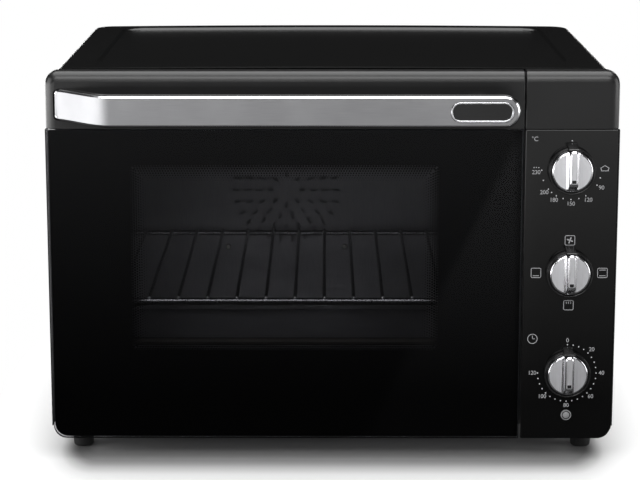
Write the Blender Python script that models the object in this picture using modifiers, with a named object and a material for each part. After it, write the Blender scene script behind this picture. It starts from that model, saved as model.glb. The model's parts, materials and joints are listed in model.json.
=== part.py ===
"""Countertop toaster oven, built as an assembly of separate parts.

Units are metres. +Z is up, the front faces -Y, and the origin is on the table under the middle
of the oven. The door is hinged along its bottom edge and pulls the wire rack out as it opens.
"""

import math

import bmesh
import bpy
from mathutils import Matrix, Vector

# ---------------------------------------------------------------- driving dimensions
WIDTH = 0.465  # over the front
DEPTH = 0.400  # from the handle to the fan motor's cover
FRONT_BOTTOM = 0.0177  # the front's lower edge, above the table
FRONT_TOP = 0.3244
GAP = 0.0003  # between parts that touch

HALF_WIDTH = WIDTH / 2
HANDLE_FRONT = -DEPTH / 2
REAR_END = DEPTH / 2
HANDLE_REACH = 0.038  # from the door's face to the handle's
FRONT = HANDLE_FRONT + HANDLE_REACH  # the glass's outer face
FRONT_CORNER = 0.011  # corner radius of the front, seen from the front

# cabinet
SHEET = 0.0012
FRAME_SHEET = 0.0012
CABINET_HALF = 0.2265
CABINET_FRONT = -0.1432
CABINET_BACK = 0.1730
CABINET_BOTTOM = 0.0209
CABINET_TOP = 0.3249  # along the lid's sides
LID_CROWN = 0.0012
LID_EDGE_RADIUS = 0.008
REAR_CORNER_RADIUS = 0.020
RECESS_HALF_WIDTH = 0.196
RECESS_FRONT = -0.110
RECESS_BACK = 0.147
RECESS_DEPTH = 0.0020
RECESS_SLOPE = 0.0030

# cavity
CAVITY_LEFT = -0.208
CAVITY_RIGHT = 0.122
CAVITY_BACK = 0.153
CAVITY_FLOOR = 0.0514
CAVITY_CEILING = 0.2764
CAVITY_WALL = 0.0010
CAVITY_CORNER = 0.012
CAVITY_X = (CAVITY_LEFT + CAVITY_RIGHT) / 2

# front: door on the left, control column on the right
DOOR_RIGHT = 0.1549
COLUMN_LEFT = 0.1565
COLUMN_X = 0.1940  # the knobs' axis
GLASS_TOP = 0.2772
RAIL_BOTTOM = 0.2776
GLASS_THICKNESS = 0.0040
EDGE_TRIM = 0.0012
RAIL_BACK = -0.146
WINDOW = ((-0.1647, 0.0924), (0.0868, 0.2474))  # x, z of its lower left and upper right

# door hinge
HINGE_Y = -0.150
HINGE_Z = 0.0344
PIN_RADIUS = 0.0025
PIN_HOLE = 0.0028
HINGE_SHEET = 0.0015

# handle
HANDLE_Z = 0.2974
HANDLE_HEIGHT = 0.0240
HANDLE_LEFT = -0.2240
HANDLE_SWEEP_END = -0.1760
HANDLE_RIGHT = 0.1480
HANDLE_PLATE = 0.0015
HANDLE_BODY = 0.0062
HANDLE_BORDER = 0.0012  # how far the body stands out round the plate

# rack
RACK_Z = 0.1286
RACK_RADIUS = 0.0022
WIRE_RADIUS = 0.0015
WIRE_PITCH = 0.02433
WIRE_COUNT = 12
RACK_LOW = (-0.2033, -0.1340)
RACK_HIGH = (0.1173, 0.1465)
LEDGE_TOPS = (0.0860, RACK_Z - RACK_RADIUS - GAP, 0.1660, 0.2060)

# controls
KNOB_HEIGHTS = {"thermostat": 0.2441, "selector": 0.1588, "timer": 0.0740}
PILOT_Z = 0.0382
SHAFT_RADIUS = 0.0030
SHAFT_HOLE = 0.0033
BRACKET_FRONT = -0.1280
KNOB_RADIUS = 0.0193
KNOB_FACE_RADIUS = 0.0164
POINTER_WIDTH = 0.0082
FINGER_BAR_WIDTH = 0.0072
BAR_TOP = 0.0188  # the finger bar's upper end, above the knob's axis
POINTER_REACH = 0.0227

# fan and heaters
FAN_X = CAVITY_X
FAN_Z = 0.1700
FAN_RADIUS = 0.050
CHAMBER_RADIUS = 0.058
CHAMBER_DEPTH = 0.0152
HEATER_RADIUS = 0.0034
HEATER_HEIGHTS = {"top": 0.2560, "bottom": 0.0745}
HEATER_FRONT = -0.060
HEATER_REAR = 0.090

ALONG = {
    "X": Matrix(((0, 0, 1), (1, 0, 0), (0, 1, 0))).to_4x4(),
    "Y": Matrix(((1, 0, 0), (0, 0, -1), (0, 1, 0))).to_4x4(),
    "Z": Matrix.Identity(4),
}
FORWARD = Vector((0, -1, 0))
BACKWARD = Vector((0, 1, 0))


# ---------------------------------------------------------------- scene, collections, materials
def clear_scene():
    for old in list(bpy.data.objects):
        bpy.data.objects.remove(old, do_unlink=True)


def new_collection(name):
    group = bpy.data.collections.new(name)
    bpy.context.scene.collection.children.link(group)
    return group


def material(name, colour, roughness, metallic=0.0, alpha=1.0):
    mat = bpy.data.materials.new(name)
    mat.use_nodes = True
    shader = mat.node_tree.nodes["Principled BSDF"]
    shader.inputs["Base Color"].default_value = (*colour, 1.0)
    shader.inputs["Roughness"].default_value = roughness
    shader.inputs["Metallic"].default_value = metallic
    shader.inputs["Alpha"].default_value = alpha
    return mat


clear_scene()
PARTS = new_collection("toaster_oven")
CUTTERS = new_collection("cutters")

BLACK_SHEET = material("black_sheet", (0.012, 0.012, 0.013), 0.38)
DARK_PLASTIC = material("dark_plastic", (0.030, 0.030, 0.032), 0.42)
BLACK_PLASTIC = material("black_plastic", (0.010, 0.010, 0.010), 0.35)
BLACK_GLASS = material("black_glass", (0.006, 0.006, 0.006), 0.06, alpha=0.75)
BRUSHED = material("brushed_metal", (0.42, 0.42, 0.44), 0.32, 1.0)
CHROME = material("chrome_wire", (0.75, 0.75, 0.76), 0.12, 1.0)
ALUMINISED = material("aluminised_steel", (0.45, 0.45, 0.46), 0.45, 1.0)
ZINC = material("zinc_steel", (0.50, 0.50, 0.50), 0.40, 1.0)
HEATER_METAL = material("heater_sheath", (0.20, 0.19, 0.18), 0.50, 1.0)
CERAMIC = material("ceramic", (0.80, 0.78, 0.72), 0.55)
LENS = material("pilot_lens", (0.62, 0.62, 0.60), 0.20)
RUBBER = material("rubber", (0.015, 0.015, 0.015), 0.80)
PHENOLIC = material("phenolic", (0.06, 0.045, 0.035), 0.55)


# ---------------------------------------------------------------- building blocks
def make_object(name, mesh, mat, location=(0, 0, 0)):
    piece = bpy.data.objects.new(name, mesh)
    piece.location = location
    if not mesh.materials:
        mesh.materials.append(mat)
    PARTS.objects.link(piece)
    return piece


def finish_mesh(bm, name):
    bmesh.ops.recalc_face_normals(bm, faces=bm.faces)
    mesh = bpy.data.meshes.new(name)
    bm.to_mesh(mesh)
    bm.free()
    return mesh


def add_box(bm, low, high):
    size = Vector(high) - Vector(low)
    centre = (Vector(high) + Vector(low)) / 2
    return bmesh.ops.create_cube(
        bm, size=1.0, matrix=Matrix.Translation(centre) @ Matrix.Diagonal((*size, 1.0))
    )["verts"]


def box(name, low, high, mat, edge=0.0, segments=2):
    """A block between two corners, with its edges rounded by edge."""
    centre = (Vector(high) + Vector(low)) / 2
    half = (Vector(high) - Vector(low)) / 2
    bm = bmesh.new()
    add_box(bm, -half, half)
    piece = make_object(name, finish_mesh(bm, name), mat, centre)
    if edge:
        rounding = piece.modifiers.new("edges", "BEVEL")
        rounding.width = edge
        rounding.segments = segments
    return piece


def boxes(name, corners, mat):
    """Several separate blocks in one mesh, given as pairs of corners."""
    bm = bmesh.new()
    for low, high in corners:
        add_box(bm, low, high)
    return make_object(name, finish_mesh(bm, name), mat)


def rounded_outline(low, high, radii, steps=4):
    """A rectangle's outline, anticlockwise from its lower left, each corner with its own radius."""
    (u0, v0), (u1, v1) = low, high
    corners = ((u0, v0, 1, 1, 180), (u1, v0, -1, 1, 270), (u1, v1, -1, -1, 0), (u0, v1, 1, -1, 90))
    points = []
    for (u, v, inward_u, inward_v, start), radius in zip(corners, radii):
        if radius == 0:
            points.append((u, v))
            continue
        for step in range(steps + 1):
            angle = math.radians(start + 90 * step / steps)
            centre_u = u + inward_u * radius
            centre_v = v + inward_v * radius
            points.append((centre_u + radius * math.cos(angle), centre_v + radius * math.sin(angle)))
    return points


def rectangle(low, high):
    return rounded_outline(low, high, (0, 0, 0, 0))


def circle_outline(centre, radius, sides=16):
    turns = [2 * math.pi * side / sides for side in range(sides)]
    return [(centre[0] + radius * math.cos(t), centre[1] + radius * math.sin(t)) for t in turns]


def to_mesh(piece, name, mat):
    """Turns a curve object into a welded mesh object in the same place."""
    bpy.context.view_layer.update()
    graph = bpy.context.evaluated_depsgraph_get()
    mesh = bpy.data.meshes.new_from_object(piece.evaluated_get(graph))
    bm = bmesh.new()
    bm.from_mesh(mesh)
    bmesh.ops.remove_doubles(bm, verts=bm.verts, dist=0.000005)
    bmesh.ops.recalc_face_normals(bm, faces=bm.faces)
    bm.to_mesh(mesh)
    bm.free()
    mesh.materials.clear()
    solid = make_object(name, mesh, mat)
    solid.matrix_world = piece.matrix_world
    bpy.data.objects.remove(piece, do_unlink=True)
    return solid


def prism(name, outlines, axis, low, high, mat):
    """A flat shape, its outer outline and then its holes, drawn out along an axis from low to high."""
    curve = bpy.data.curves.new(name, "CURVE")
    curve.dimensions = "2D"
    curve.fill_mode = "BOTH"
    curve.extrude = (high - low) / 2
    for outline in outlines:
        spline = curve.splines.new("POLY")
        spline.points.add(len(outline) - 1)
        for point, (u, v) in zip(spline.points, outline):
            point.co = (u, v, 0, 1)
        spline.use_cyclic_u = True
    piece = bpy.data.objects.new(name + "_outline", curve)
    PARTS.objects.link(piece)
    middle = (high + low) / 2
    offset = {"X": (middle, 0, 0), "Y": (0, middle, 0), "Z": (0, 0, middle)}[axis]
    piece.matrix_world = Matrix.Translation(offset) @ ALONG[axis]
    return to_mesh(piece, name, mat)


def tube(name, points, radius, mat, closed=False, sides=8):
    """A round wire or tube along a line of points."""
    curve = bpy.data.curves.new(name, "CURVE")
    curve.dimensions = "3D"
    curve.bevel_depth = radius
    curve.bevel_resolution = sides // 2 - 2
    curve.use_fill_caps = True
    spline = curve.splines.new("POLY")
    spline.points.add(len(points) - 1)
    for point, place in zip(spline.points, points):
        point.co = (*place, 1)
    spline.use_cyclic_u = closed
    piece = bpy.data.objects.new(name + "_line", curve)
    PARTS.objects.link(piece)
    solid = to_mesh(piece, name, mat)
    smooth(solid)
    return solid


def smooth(piece):
    piece.data.shade_smooth()
    piece.data.set_sharp_from_angle(angle=math.radians(35))


def turned(name, profile, toward, place, mat, steps=24, ring=False):
    """A round part: (radius, height) points turned about the line through place along toward.

    The points run from the axis over the top and down the outside; a ring's points close a loop.
    """
    bm = bmesh.new()
    verts = [bm.verts.new((radius, 0, height)) for radius, height in profile]
    pairs = list(zip(verts, verts[1:]))
    if ring:
        pairs.append((verts[-1], verts[0]))
    for first, second in pairs:
        bm.edges.new((first, second))
    mesh = bpy.data.meshes.new(name)
    bm.to_mesh(mesh)
    bm.free()
    piece = make_object(name, mesh, mat, place)
    piece.rotation_mode = "QUATERNION"
    piece.rotation_quaternion = Vector(toward).to_track_quat("Z", "Y")
    screw = piece.modifiers.new("turn", "SCREW")
    screw.axis = "Z"
    screw.angle = 2 * math.pi
    screw.steps = steps
    screw.render_steps = steps
    screw.use_merge_vertices = True
    screw.merge_threshold = 0.00002
    screw.use_smooth_shade = True
    return piece


def as_tool(piece):
    """Makes a shape a cutter: it isn't a part of the oven."""
    PARTS.objects.unlink(piece)
    CUTTERS.objects.link(piece)
    piece.hide_render = True
    piece.display_type = "WIRE"
    return piece


def boolean(piece, other, operation):
    step = piece.modifiers.new(operation.lower() + "_" + other.name, "BOOLEAN")
    step.operation = operation
    step.solver = "EXACT"
    step.object = as_tool(other)
    return piece


def cut(piece, other):
    return boolean(piece, other, "DIFFERENCE")


def join(piece, other):
    return boolean(piece, other, "UNION")


def pivot(name, place):
    """An empty on a joint's axis, which the moving parts hang from."""
    empty = bpy.data.objects.new(name, None)
    empty.empty_display_size = 0.02
    empty.location = place
    PARTS.objects.link(empty)
    return empty


def hang(empty, *pieces):
    bpy.context.view_layer.update()
    for piece in pieces:
        world = piece.matrix_world.copy()
        piece.parent = empty
        piece.matrix_parent_inverse = empty.matrix_world.inverted()
        piece.matrix_world = world


# ---------------------------------------------------------------- cabinet
def slot_rows(low, high, count, size):
    """Corners of equal slots, stacked upwards with even spaces between low and high."""
    step = (high[2] - low[2] - size) / (count - 1)
    pairs = []
    for row in range(count):
        bottom = low[2] + row * step
        pairs.append(((low[0], low[1], bottom), (high[0], high[1], bottom + size)))
    return pairs


def outer_wrap():
    """Lid and sides in one bent sheet. Its front toes are notched for the door's lower edge."""
    bm = bmesh.new()
    add_box(bm, (-CABINET_HALF, CABINET_FRONT, CABINET_BOTTOM), (CABINET_HALF, CABINET_BACK, CABINET_TOP))
    open_faces = [f for f in bm.faces if f.normal.y < -0.5 or f.normal.z < -0.5]
    bmesh.ops.delete(bm, geom=open_faces, context="FACES")
    upright = [e for e in bm.edges if is_rear_upright(e)]
    bmesh.ops.bevel(bm, geom=upright, offset=REAR_CORNER_RADIUS, segments=5, profile=0.5, affect="EDGES")
    lid = max(bm.faces, key=lambda f: f.calc_center_median().z)
    rim = [e for e in lid.edges if not all(abs(v.co.y - CABINET_FRONT) < 1e-6 for v in e.verts)]
    bmesh.ops.bevel(bm, geom=rim, offset=LID_EDGE_RADIUS, segments=3, profile=0.5, affect="EDGES")
    score_lid(bm)
    shape_lid(bm)
    wrap = make_object("outer_wrap", finish_mesh(bm, "outer_wrap"), BLACK_SHEET)
    smooth(wrap)
    wall = wrap.modifiers.new("wall", "SOLIDIFY")
    wall.thickness = SHEET
    wall.offset = -1
    window = box("rear_window", (-0.200, 0.150, 0.010), (0.200, 0.190, 0.3084), BLACK_SHEET)
    cut(wrap, window)
    vents = []
    for front in (-0.100, -0.050):
        vents += slot_rows((0.220, front, 0.200), (0.232, front + 0.040, 0.280), 9, 0.0035)
    cut(wrap, boxes("side_vents", vents, BLACK_SHEET))
    toes = [((x - 0.006, -0.150, 0.015), (x + 0.006, -0.1325, 0.0285)) for x in (-CABINET_HALF, CABINET_HALF)]
    cut(wrap, boxes("toe_notches", toes, BLACK_SHEET))
    return wrap


def is_rear_upright(edge):
    first, second = (vert.co for vert in edge.verts)
    return min(first.y, second.y) > 0 and abs(first.z - second.z) > 0.1


def score_lid(bm):
    """Adds the lines on the lid that its crown and its sunk field need."""
    one_side = (0.060, 0.130, RECESS_HALF_WIDTH - RECESS_SLOPE, RECESS_HALF_WIDTH)
    across = [0.0, *one_side, *[-x for x in one_side]]
    lengthwise = (RECESS_FRONT, RECESS_FRONT + RECESS_SLOPE, RECESS_BACK - RECESS_SLOPE, RECESS_BACK)
    planes = [((x, 0, 0), (1, 0, 0)) for x in across]
    planes += [((0, y, 0), (0, 1, 0)) for y in lengthwise]
    for point, normal in planes:
        top = [f for f in bm.faces if f.normal.z > 0.99]
        geometry = top + [e for f in top for e in f.edges] + [v for f in top for v in f.verts]
        bmesh.ops.bisect_plane(bm, geom=list(dict.fromkeys(geometry)), plane_co=point, plane_no=normal)


def shape_lid(bm):
    """Crowns the lid and sinks its field."""
    flat_half = CABINET_HALF - LID_EDGE_RADIUS
    slack = 1e-5
    field_half = RECESS_HALF_WIDTH - RECESS_SLOPE + slack
    field_front = RECESS_FRONT + RECESS_SLOPE - slack
    field_back = RECESS_BACK - RECESS_SLOPE + slack
    for vert in bm.verts:
        if vert.co.z < CABINET_TOP - slack:
            continue
        x, y = vert.co.x, vert.co.y
        if abs(x) <= field_half and field_front <= y <= field_back:
            vert.co.z -= RECESS_DEPTH
        vert.co.z += LID_CROWN * max(0.0, 1 - (x / flat_half) ** 2)


def base_plate():
    """Floor of the cabinet. It stops short behind the door, whose lower edge swings in under it."""
    behind_door = -0.1310
    behind_column = CABINET_FRONT
    side = CABINET_HALF - SHEET - GAP
    back = 0.1690
    corner = 0.0190
    outline = rounded_outline((-side, behind_door), (side, back), (0, 0, corner, corner))
    low_left, low_right = outline[0], outline[1]
    outline[1:2] = [(COLUMN_LEFT, behind_door), (COLUMN_LEFT, behind_column), (low_right[0], behind_column)]
    vents = []
    for row in range(6):
        vents.append(rectangle((0.150, -0.060 + 0.014 * row), (0.210, -0.056 + 0.014 * row)))
    top = CABINET_BOTTOM + 0.0015
    plate = prism("base_plate", [outline, *vents], "Z", CABINET_BOTTOM, top, ALUMINISED)
    lip_low = (low_left[0] + 0.001, behind_door, top - 0.0005)
    lip_high = (COLUMN_LEFT - 0.001, behind_door + 0.0012, 0.0340)
    return join(plate, box("base_lip", lip_low, lip_high, ALUMINISED))


def rear_panel():
    """Back sheet, with vents, an opening for the fan motor and a hole for the mains lead's gland."""
    outline = rectangle((-0.2085, 0.0230), (0.2085, 0.3140))
    half_x, half_z = 0.033, 0.027
    motor = rectangle((FAN_X - half_x, FAN_Z - half_z), (FAN_X + half_x, FAN_Z + half_z))
    gland = circle_outline((0.180, 0.050), 0.0080)
    vents = []
    for row in range(8):
        bottom = 0.160 + 0.012 * row
        for left in (0.110, 0.155):
            vents.append(rectangle((left, bottom), (left + 0.036, bottom + 0.004)))
    return prism("rear_panel", [outline, motor, gland, *vents], "Y", 0.1698, 0.1710, BLACK_SHEET)


def fan_square(half, corner):
    """Outline of a round-cornered square about the fan's axis."""
    low = (FAN_X - half, FAN_Z - half)
    high = (FAN_X + half, FAN_Z + half)
    return rounded_outline(low, high, (corner,) * 4, 3)


def motor_cover():
    """Vented box over the fan motor."""
    half = 0.062
    front = 0.1713
    wall = 0.0015
    shell = prism("motor_cover", [fan_square(half, 0.010)], "Y", front, REAR_END, BLACK_SHEET)
    hollow = fan_square(half - wall, 0.0085)
    cut(shell, prism("motor_cover_hollow", [hollow], "Y", front - 0.01, REAR_END - wall, BLACK_SHEET))
    low = (FAN_X - 0.040, REAR_END - 0.005, FAN_Z - 0.036)
    high = (FAN_X + 0.040, REAR_END + 0.005, FAN_Z + 0.036)
    return cut(shell, boxes("motor_cover_vents", slot_rows(low, high, 7, 0.004), BLACK_SHEET))


def front_frame():
    """Pressed sheet round the oven's mouth, which also closes the front of the control compartment."""
    side = CABINET_HALF - SHEET - GAP
    outline = rounded_outline((-side, 0.0284), (side, 0.3220), (0.002, 0.002, 0.007, 0.007), 2)
    mouth = rounded_outline((-0.2072, 0.0540), (0.1212, 0.2724), (0.012,) * 4)
    controls = rounded_outline((0.1620, 0.0300), (0.2200, 0.3000), (0.006,) * 4, 2)
    back = CABINET_FRONT + FRAME_SHEET
    return prism("front_frame", [outline, mouth, controls], "Y", CABINET_FRONT, back, ALUMINISED)


def feet():
    """Four tapered rubber feet under the base."""
    height = CABINET_BOTTOM - GAP
    made = []
    for depth_name, y in (("front", -0.1200), ("rear", 0.1400)):
        for side_name, x in (("left", -0.2113), ("right", 0.2113)):
            profile = [(0, height), (0.0096, height), (0.0080, 0.0008), (0.0072, 0), (0, 0)]
            name = f"foot_{depth_name}_{side_name}"
            made.append(turned(name, profile, (0, 0, 1), (x, y, 0), RUBBER, 20))
    return made


# ---------------------------------------------------------------- cavity
def cavity_liner():
    """The oven's inner box: one drawn shell, open to the front."""
    front = CABINET_FRONT + FRAME_SHEET + GAP
    wall = CAVITY_WALL
    outer = rounded_outline(
        (CAVITY_LEFT - wall, CAVITY_FLOOR - wall),
        (CAVITY_RIGHT + wall, CAVITY_CEILING + wall),
        (CAVITY_CORNER,) * 4,
        3,
    )
    inner = rounded_outline(
        (CAVITY_LEFT, CAVITY_FLOOR), (CAVITY_RIGHT, CAVITY_CEILING), (CAVITY_CORNER - wall,) * 4, 3
    )
    liner = prism("cavity_liner", [outer], "Y", front, CAVITY_BACK + wall, ALUMINISED)
    cut(liner, prism("cavity_space", [inner], "Y", front - 0.01, CAVITY_BACK, ALUMINISED))
    hole = prism("fan_hole", [circle_outline((FAN_X, FAN_Z), 0.056, 32)], "Y", 0.145, 0.165, ALUMINISED)
    cut(liner, hole)
    for level, z in HEATER_HEIGHTS.items():
        for y in (HEATER_FRONT, HEATER_REAR):
            outline = circle_outline((y, z), 0.0059, 20)
            cut(liner, prism(f"{level}_bush_hole", [outline], "X", 0.115, 0.130, ALUMINISED))
    return liner


def side_guide(name, wall_x, inward):
    """A sheet on the cavity's side wall, folded into ledges that the rack slides on."""
    face = wall_x + inward * GAP
    inner = face + inward * 0.0010
    tip = face + inward * 0.0095
    thickness = 0.0012
    bottom, top = 0.0812, 0.2300
    points = [(face, bottom), (inner, bottom)]
    for ledge in LEDGE_TOPS:
        points += [(inner, ledge - thickness), (tip, ledge - thickness), (tip, ledge), (inner, ledge)]
    points += [(inner, top), (face, top)]
    return prism(name, [points], "Y", -0.1400, 0.1500, ALUMINISED)


def heater(name, z):
    """A sheathed element bent into a U, both ends through the right-hand wall."""
    end, far, bend = 0.1400, -0.1900, 0.0250
    line = [(end, HEATER_FRONT, z)]
    for step in range(5):
        angle = math.radians(90 * step / 4)
        line.append((far + bend - bend * math.sin(angle), HEATER_FRONT + bend - bend * math.cos(angle), z))
    for step in range(5):
        angle = math.radians(90 * step / 4)
        line.append((far + bend - bend * math.cos(angle), HEATER_REAR - bend + bend * math.sin(angle), z))
    line.append((end, HEATER_REAR, z))
    return tube(name, line, HEATER_RADIUS, HEATER_METAL, sides=8)


def heater_bush(name, y, z):
    """Ceramic bush that carries a heater's end through the wall."""
    wall = CAVITY_RIGHT + CAVITY_WALL
    profile = [
        (0.0039, 0.0030),
        (0.0080, 0.0030),
        (0.0080, GAP),
        (0.0056, GAP),
        (0.0056, -0.0030),
        (0.0039, -0.0030),
    ]
    return turned(name, profile, (1, 0, 0), (wall, y, z), CERAMIC, 12, ring=True)


def crumb_tray():
    """Shallow tray on the cavity's floor, under the lower heater."""
    low = (CAVITY_LEFT + CAVITY_CORNER, -0.1370, CAVITY_FLOOR + GAP)
    high = (CAVITY_RIGHT - CAVITY_CORNER, 0.1490, CAVITY_FLOOR + 0.0070)
    tray = box("crumb_tray", low, high, ALUMINISED)
    pan_low = (low[0] + 0.001, low[1] + 0.001, low[2] + 0.001)
    pan_high = (high[0] - 0.001, high[1] - 0.001, high[2] + 0.01)
    return cut(tray, box("crumb_tray_hollow", pan_low, pan_high, ALUMINISED))


def rack():
    """Wire rack: a round-cornered frame with wires laid on it from front to back."""
    corner = 0.012
    line = [(u, v, RACK_Z) for u, v in rounded_outline(RACK_LOW, RACK_HIGH, (corner,) * 4, 3)]
    frame = tube("rack", line, RACK_RADIUS, CHROME, closed=True)
    middle = (RACK_LOW[0] + RACK_HIGH[0]) / 2
    height = RACK_Z + RACK_RADIUS + 0.0004
    bm = bmesh.new()
    for number in range(WIRE_COUNT):
        x = middle + (number - (WIRE_COUNT - 1) / 2) * WIRE_PITCH
        length = RACK_HIGH[1] - RACK_LOW[1] + 0.001
        place = Matrix.Translation((x, (RACK_LOW[1] + RACK_HIGH[1]) / 2, height))
        bmesh.ops.create_cone(
            bm,
            cap_ends=True,
            segments=8,
            radius1=WIRE_RADIUS,
            radius2=WIRE_RADIUS,
            depth=length,
            matrix=place @ Matrix.Rotation(math.pi / 2, 4, "X"),
        )
    wires = make_object("rack_wires", finish_mesh(bm, "rack_wires"), CHROME)
    return join(frame, wires)


# ---------------------------------------------------------------- fan
def fan_grille():
    """Perforated sheet in front of the fan."""
    outline = fan_square(0.062, 0.006)
    holes = []
    for ring, count in ((0.016, 6), (0.032, 10), (0.047, 14)):
        for number in range(count):
            turn = 2 * math.pi * number / count
            centre = (FAN_X + ring * math.cos(turn), FAN_Z + ring * math.sin(turn))
            holes.append(circle_outline(centre, 0.0042, 6))
    return prism("fan_grille", [outline, *holes], "Y", CAVITY_BACK - 0.0013, CAVITY_BACK - GAP, ALUMINISED)


def fan_chamber():
    """Round pan behind the cavity that the fan turns in."""
    front = CAVITY_BACK + CAVITY_WALL + GAP
    sheet = 0.001
    outer = CHAMBER_RADIUS + sheet
    shaft_hole = 0.005
    floor = -CHAMBER_DEPTH
    profile = [
        (CHAMBER_RADIUS, 0),
        (outer, 0),
        (outer, floor),
        (shaft_hole, floor),
        (shaft_hole, floor + sheet),
        (CHAMBER_RADIUS, floor + sheet),
    ]
    return turned("fan_chamber", profile, FORWARD, (FAN_X, front, FAN_Z), ALUMINISED, 28, ring=True)


def fan_blade():
    """Hub, disc and radial blades in one pressing."""
    profile = [
        (0.0028, 0.0045),
        (0.0090, 0.0045),
        (0.0090, -0.0030),
        (FAN_RADIUS, -0.0030),
        (FAN_RADIUS, -0.0040),
        (0.0090, -0.0040),
        (0.0090, -0.0050),
        (0.0028, -0.0050),
    ]
    centre = (FAN_X, 0.1620, FAN_Z)
    wheel = turned("fan_blade", profile, FORWARD, centre, ALUMINISED, 20, ring=True)
    bm = bmesh.new()
    for number in range(10):
        verts = add_box(bm, (0.018, -0.0008, -0.0034), (0.048, 0.0008, 0.0045))
        turn = Matrix.Rotation(2 * math.pi * number / 10, 4, "Z")
        bmesh.ops.transform(bm, matrix=turn, verts=verts)
    blades = make_object("fan_vanes", finish_mesh(bm, "fan_vanes"), ALUMINISED, centre)
    blades.rotation_mode = "QUATERNION"
    blades.rotation_quaternion = FORWARD.to_track_quat("Z", "Y")
    return join(wheel, blades)


def fan_shaft():
    profile = [(0, 0.0060), (0.0025, 0.0060), (0.0025, -0.0200), (0, -0.0200)]
    return turned("fan_shaft", profile, FORWARD, (FAN_X, 0.1620, FAN_Z), ZINC, 16)


def fan_motor():
    """Flat shaded-pole motor bolted to the chamber."""
    front = CAVITY_BACK + CAVITY_WALL + GAP + CHAMBER_DEPTH + GAP
    low = (FAN_X - 0.030, front, FAN_Z - 0.024)
    high = (FAN_X + 0.030, front + 0.0240, FAN_Z + 0.024)
    motor = box("fan_motor", low, high, ZINC, 0.003)
    hole = prism("fan_motor_bore", [circle_outline((FAN_X, FAN_Z), 0.0029)], "Y", 0.160, 0.1840, ZINC)
    return cut(motor, hole)


# ---------------------------------------------------------------- door
def front_outline(low, high, rounded):
    """An outline on the front face; rounded names the corners that follow the front's own corner."""
    names = ("low_left", "low_right", "high_right", "high_left")
    radii = [FRONT_CORNER if name in rounded else 0.0008 for name in names]
    return rounded_outline(low, high, radii, 5)


def door_glass():
    outline = front_outline((-HALF_WIDTH + EDGE_TRIM, FRONT_BOTTOM), (DOOR_RIGHT, GLASS_TOP), ("low_left",))
    return prism("door_glass", [outline], "Y", FRONT, FRONT + GLASS_THICKNESS, BLACK_GLASS)


def door_side_trim():
    """Thin strip that covers the glass's left edge and the door's side."""
    low = (-HALF_WIDTH, FRONT, FRONT_BOTTOM + FRONT_CORNER)
    high = (-HALF_WIDTH + EDGE_TRIM - GAP, -0.1480, GLASS_TOP)
    return box("door_side_trim", low, high, DARK_PLASTIC)


def moulded_cap(name, low_x, high_x, back, rounded):
    """A hollow moulding along the front's top edge, with its upper front edge rounded off."""
    outline = front_outline((low_x, RAIL_BOTTOM), (high_x, FRONT_TOP), rounded)
    cap = prism(name, [outline], "Y", FRONT, back, DARK_PLASTIC)
    round_front_edges(cap, 0.006)
    wall = 0.0035
    hollow = box(
        name + "_hollow",
        (low_x + wall, FRONT + wall, RAIL_BOTTOM - 0.010),
        (high_x - wall, back + 0.010, FRONT_TOP - wall),
        DARK_PLASTIC,
    )
    smooth(cap)
    return cut(cap, hollow)


def round_front_edges(piece, radius):
    """Rounds the edges of the front face except along the moulding's bottom and its flat joint."""
    bm = bmesh.new()
    bm.from_mesh(piece.data)
    world = piece.matrix_world
    places = {vert: world @ vert.co for vert in bm.verts}
    front = min(place.y for place in places.values())
    chosen = []
    for edge in bm.edges:
        first, second = (places[vert] for vert in edge.verts)
        on_front = abs(first.y - front) < 1e-5 and abs(second.y - front) < 1e-5
        middle = (first + second) / 2
        at_rim = middle.z > FRONT_TOP - FRONT_CORNER and len(edge.link_faces) == 2
        flat = edge.link_faces[0].normal.dot(edge.link_faces[1].normal) > 0.5 if at_rim else True
        near_side = abs(first.x - second.x) < 1e-5 and middle.z < FRONT_TOP - FRONT_CORNER
        if on_front and at_rim and not flat and not near_side:
            chosen.append(edge)
    bmesh.ops.bevel(bm, geom=chosen, offset=radius, segments=4, profile=0.5, affect="EDGES")
    bm.to_mesh(piece.data)
    bm.free()


def door_inner_frame():
    """Pressed pan behind the glass, with the window's opening in it."""
    low = (-0.2180, FRONT + GLASS_THICKNESS + GAP, HINGE_Z - 0.005)
    high = (0.1400, RAIL_BACK, 0.3044)
    pan = box("door_inner_frame", low, high, ALUMINISED)
    wall = 0.0012
    hollow = box(
        "door_pan_hollow",
        (low[0] + wall, low[1] - 0.01, low[2] + wall),
        (high[0] - wall, high[1] - wall, high[2] - wall),
        ALUMINISED,
    )
    cut(pan, hollow)
    margin = 0.004
    window_low = [place - margin for place in WINDOW[0]]
    window_high = [place + margin for place in WINDOW[1]]
    opening = rounded_outline(window_low, window_high, (0.010,) * 4)
    cut(pan, prism("door_window", [opening], "Y", -0.155, -0.140, ALUMINISED))
    return pan


def hinge_arm(name, low_x):
    """Plate at the side of the door's pan, with the hole for the hinge pin."""
    low = (HINGE_Y - 0.0050, HINGE_Z - 0.0050)
    high = (HINGE_Y + 0.0035, 0.1200)
    outline = rounded_outline(low, high, (0.003,) * 4, 3)
    hole = circle_outline((HINGE_Y, HINGE_Z), PIN_HOLE)
    return prism(name, [outline, hole], "X", low_x, low_x + HINGE_SHEET, ZINC)


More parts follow.
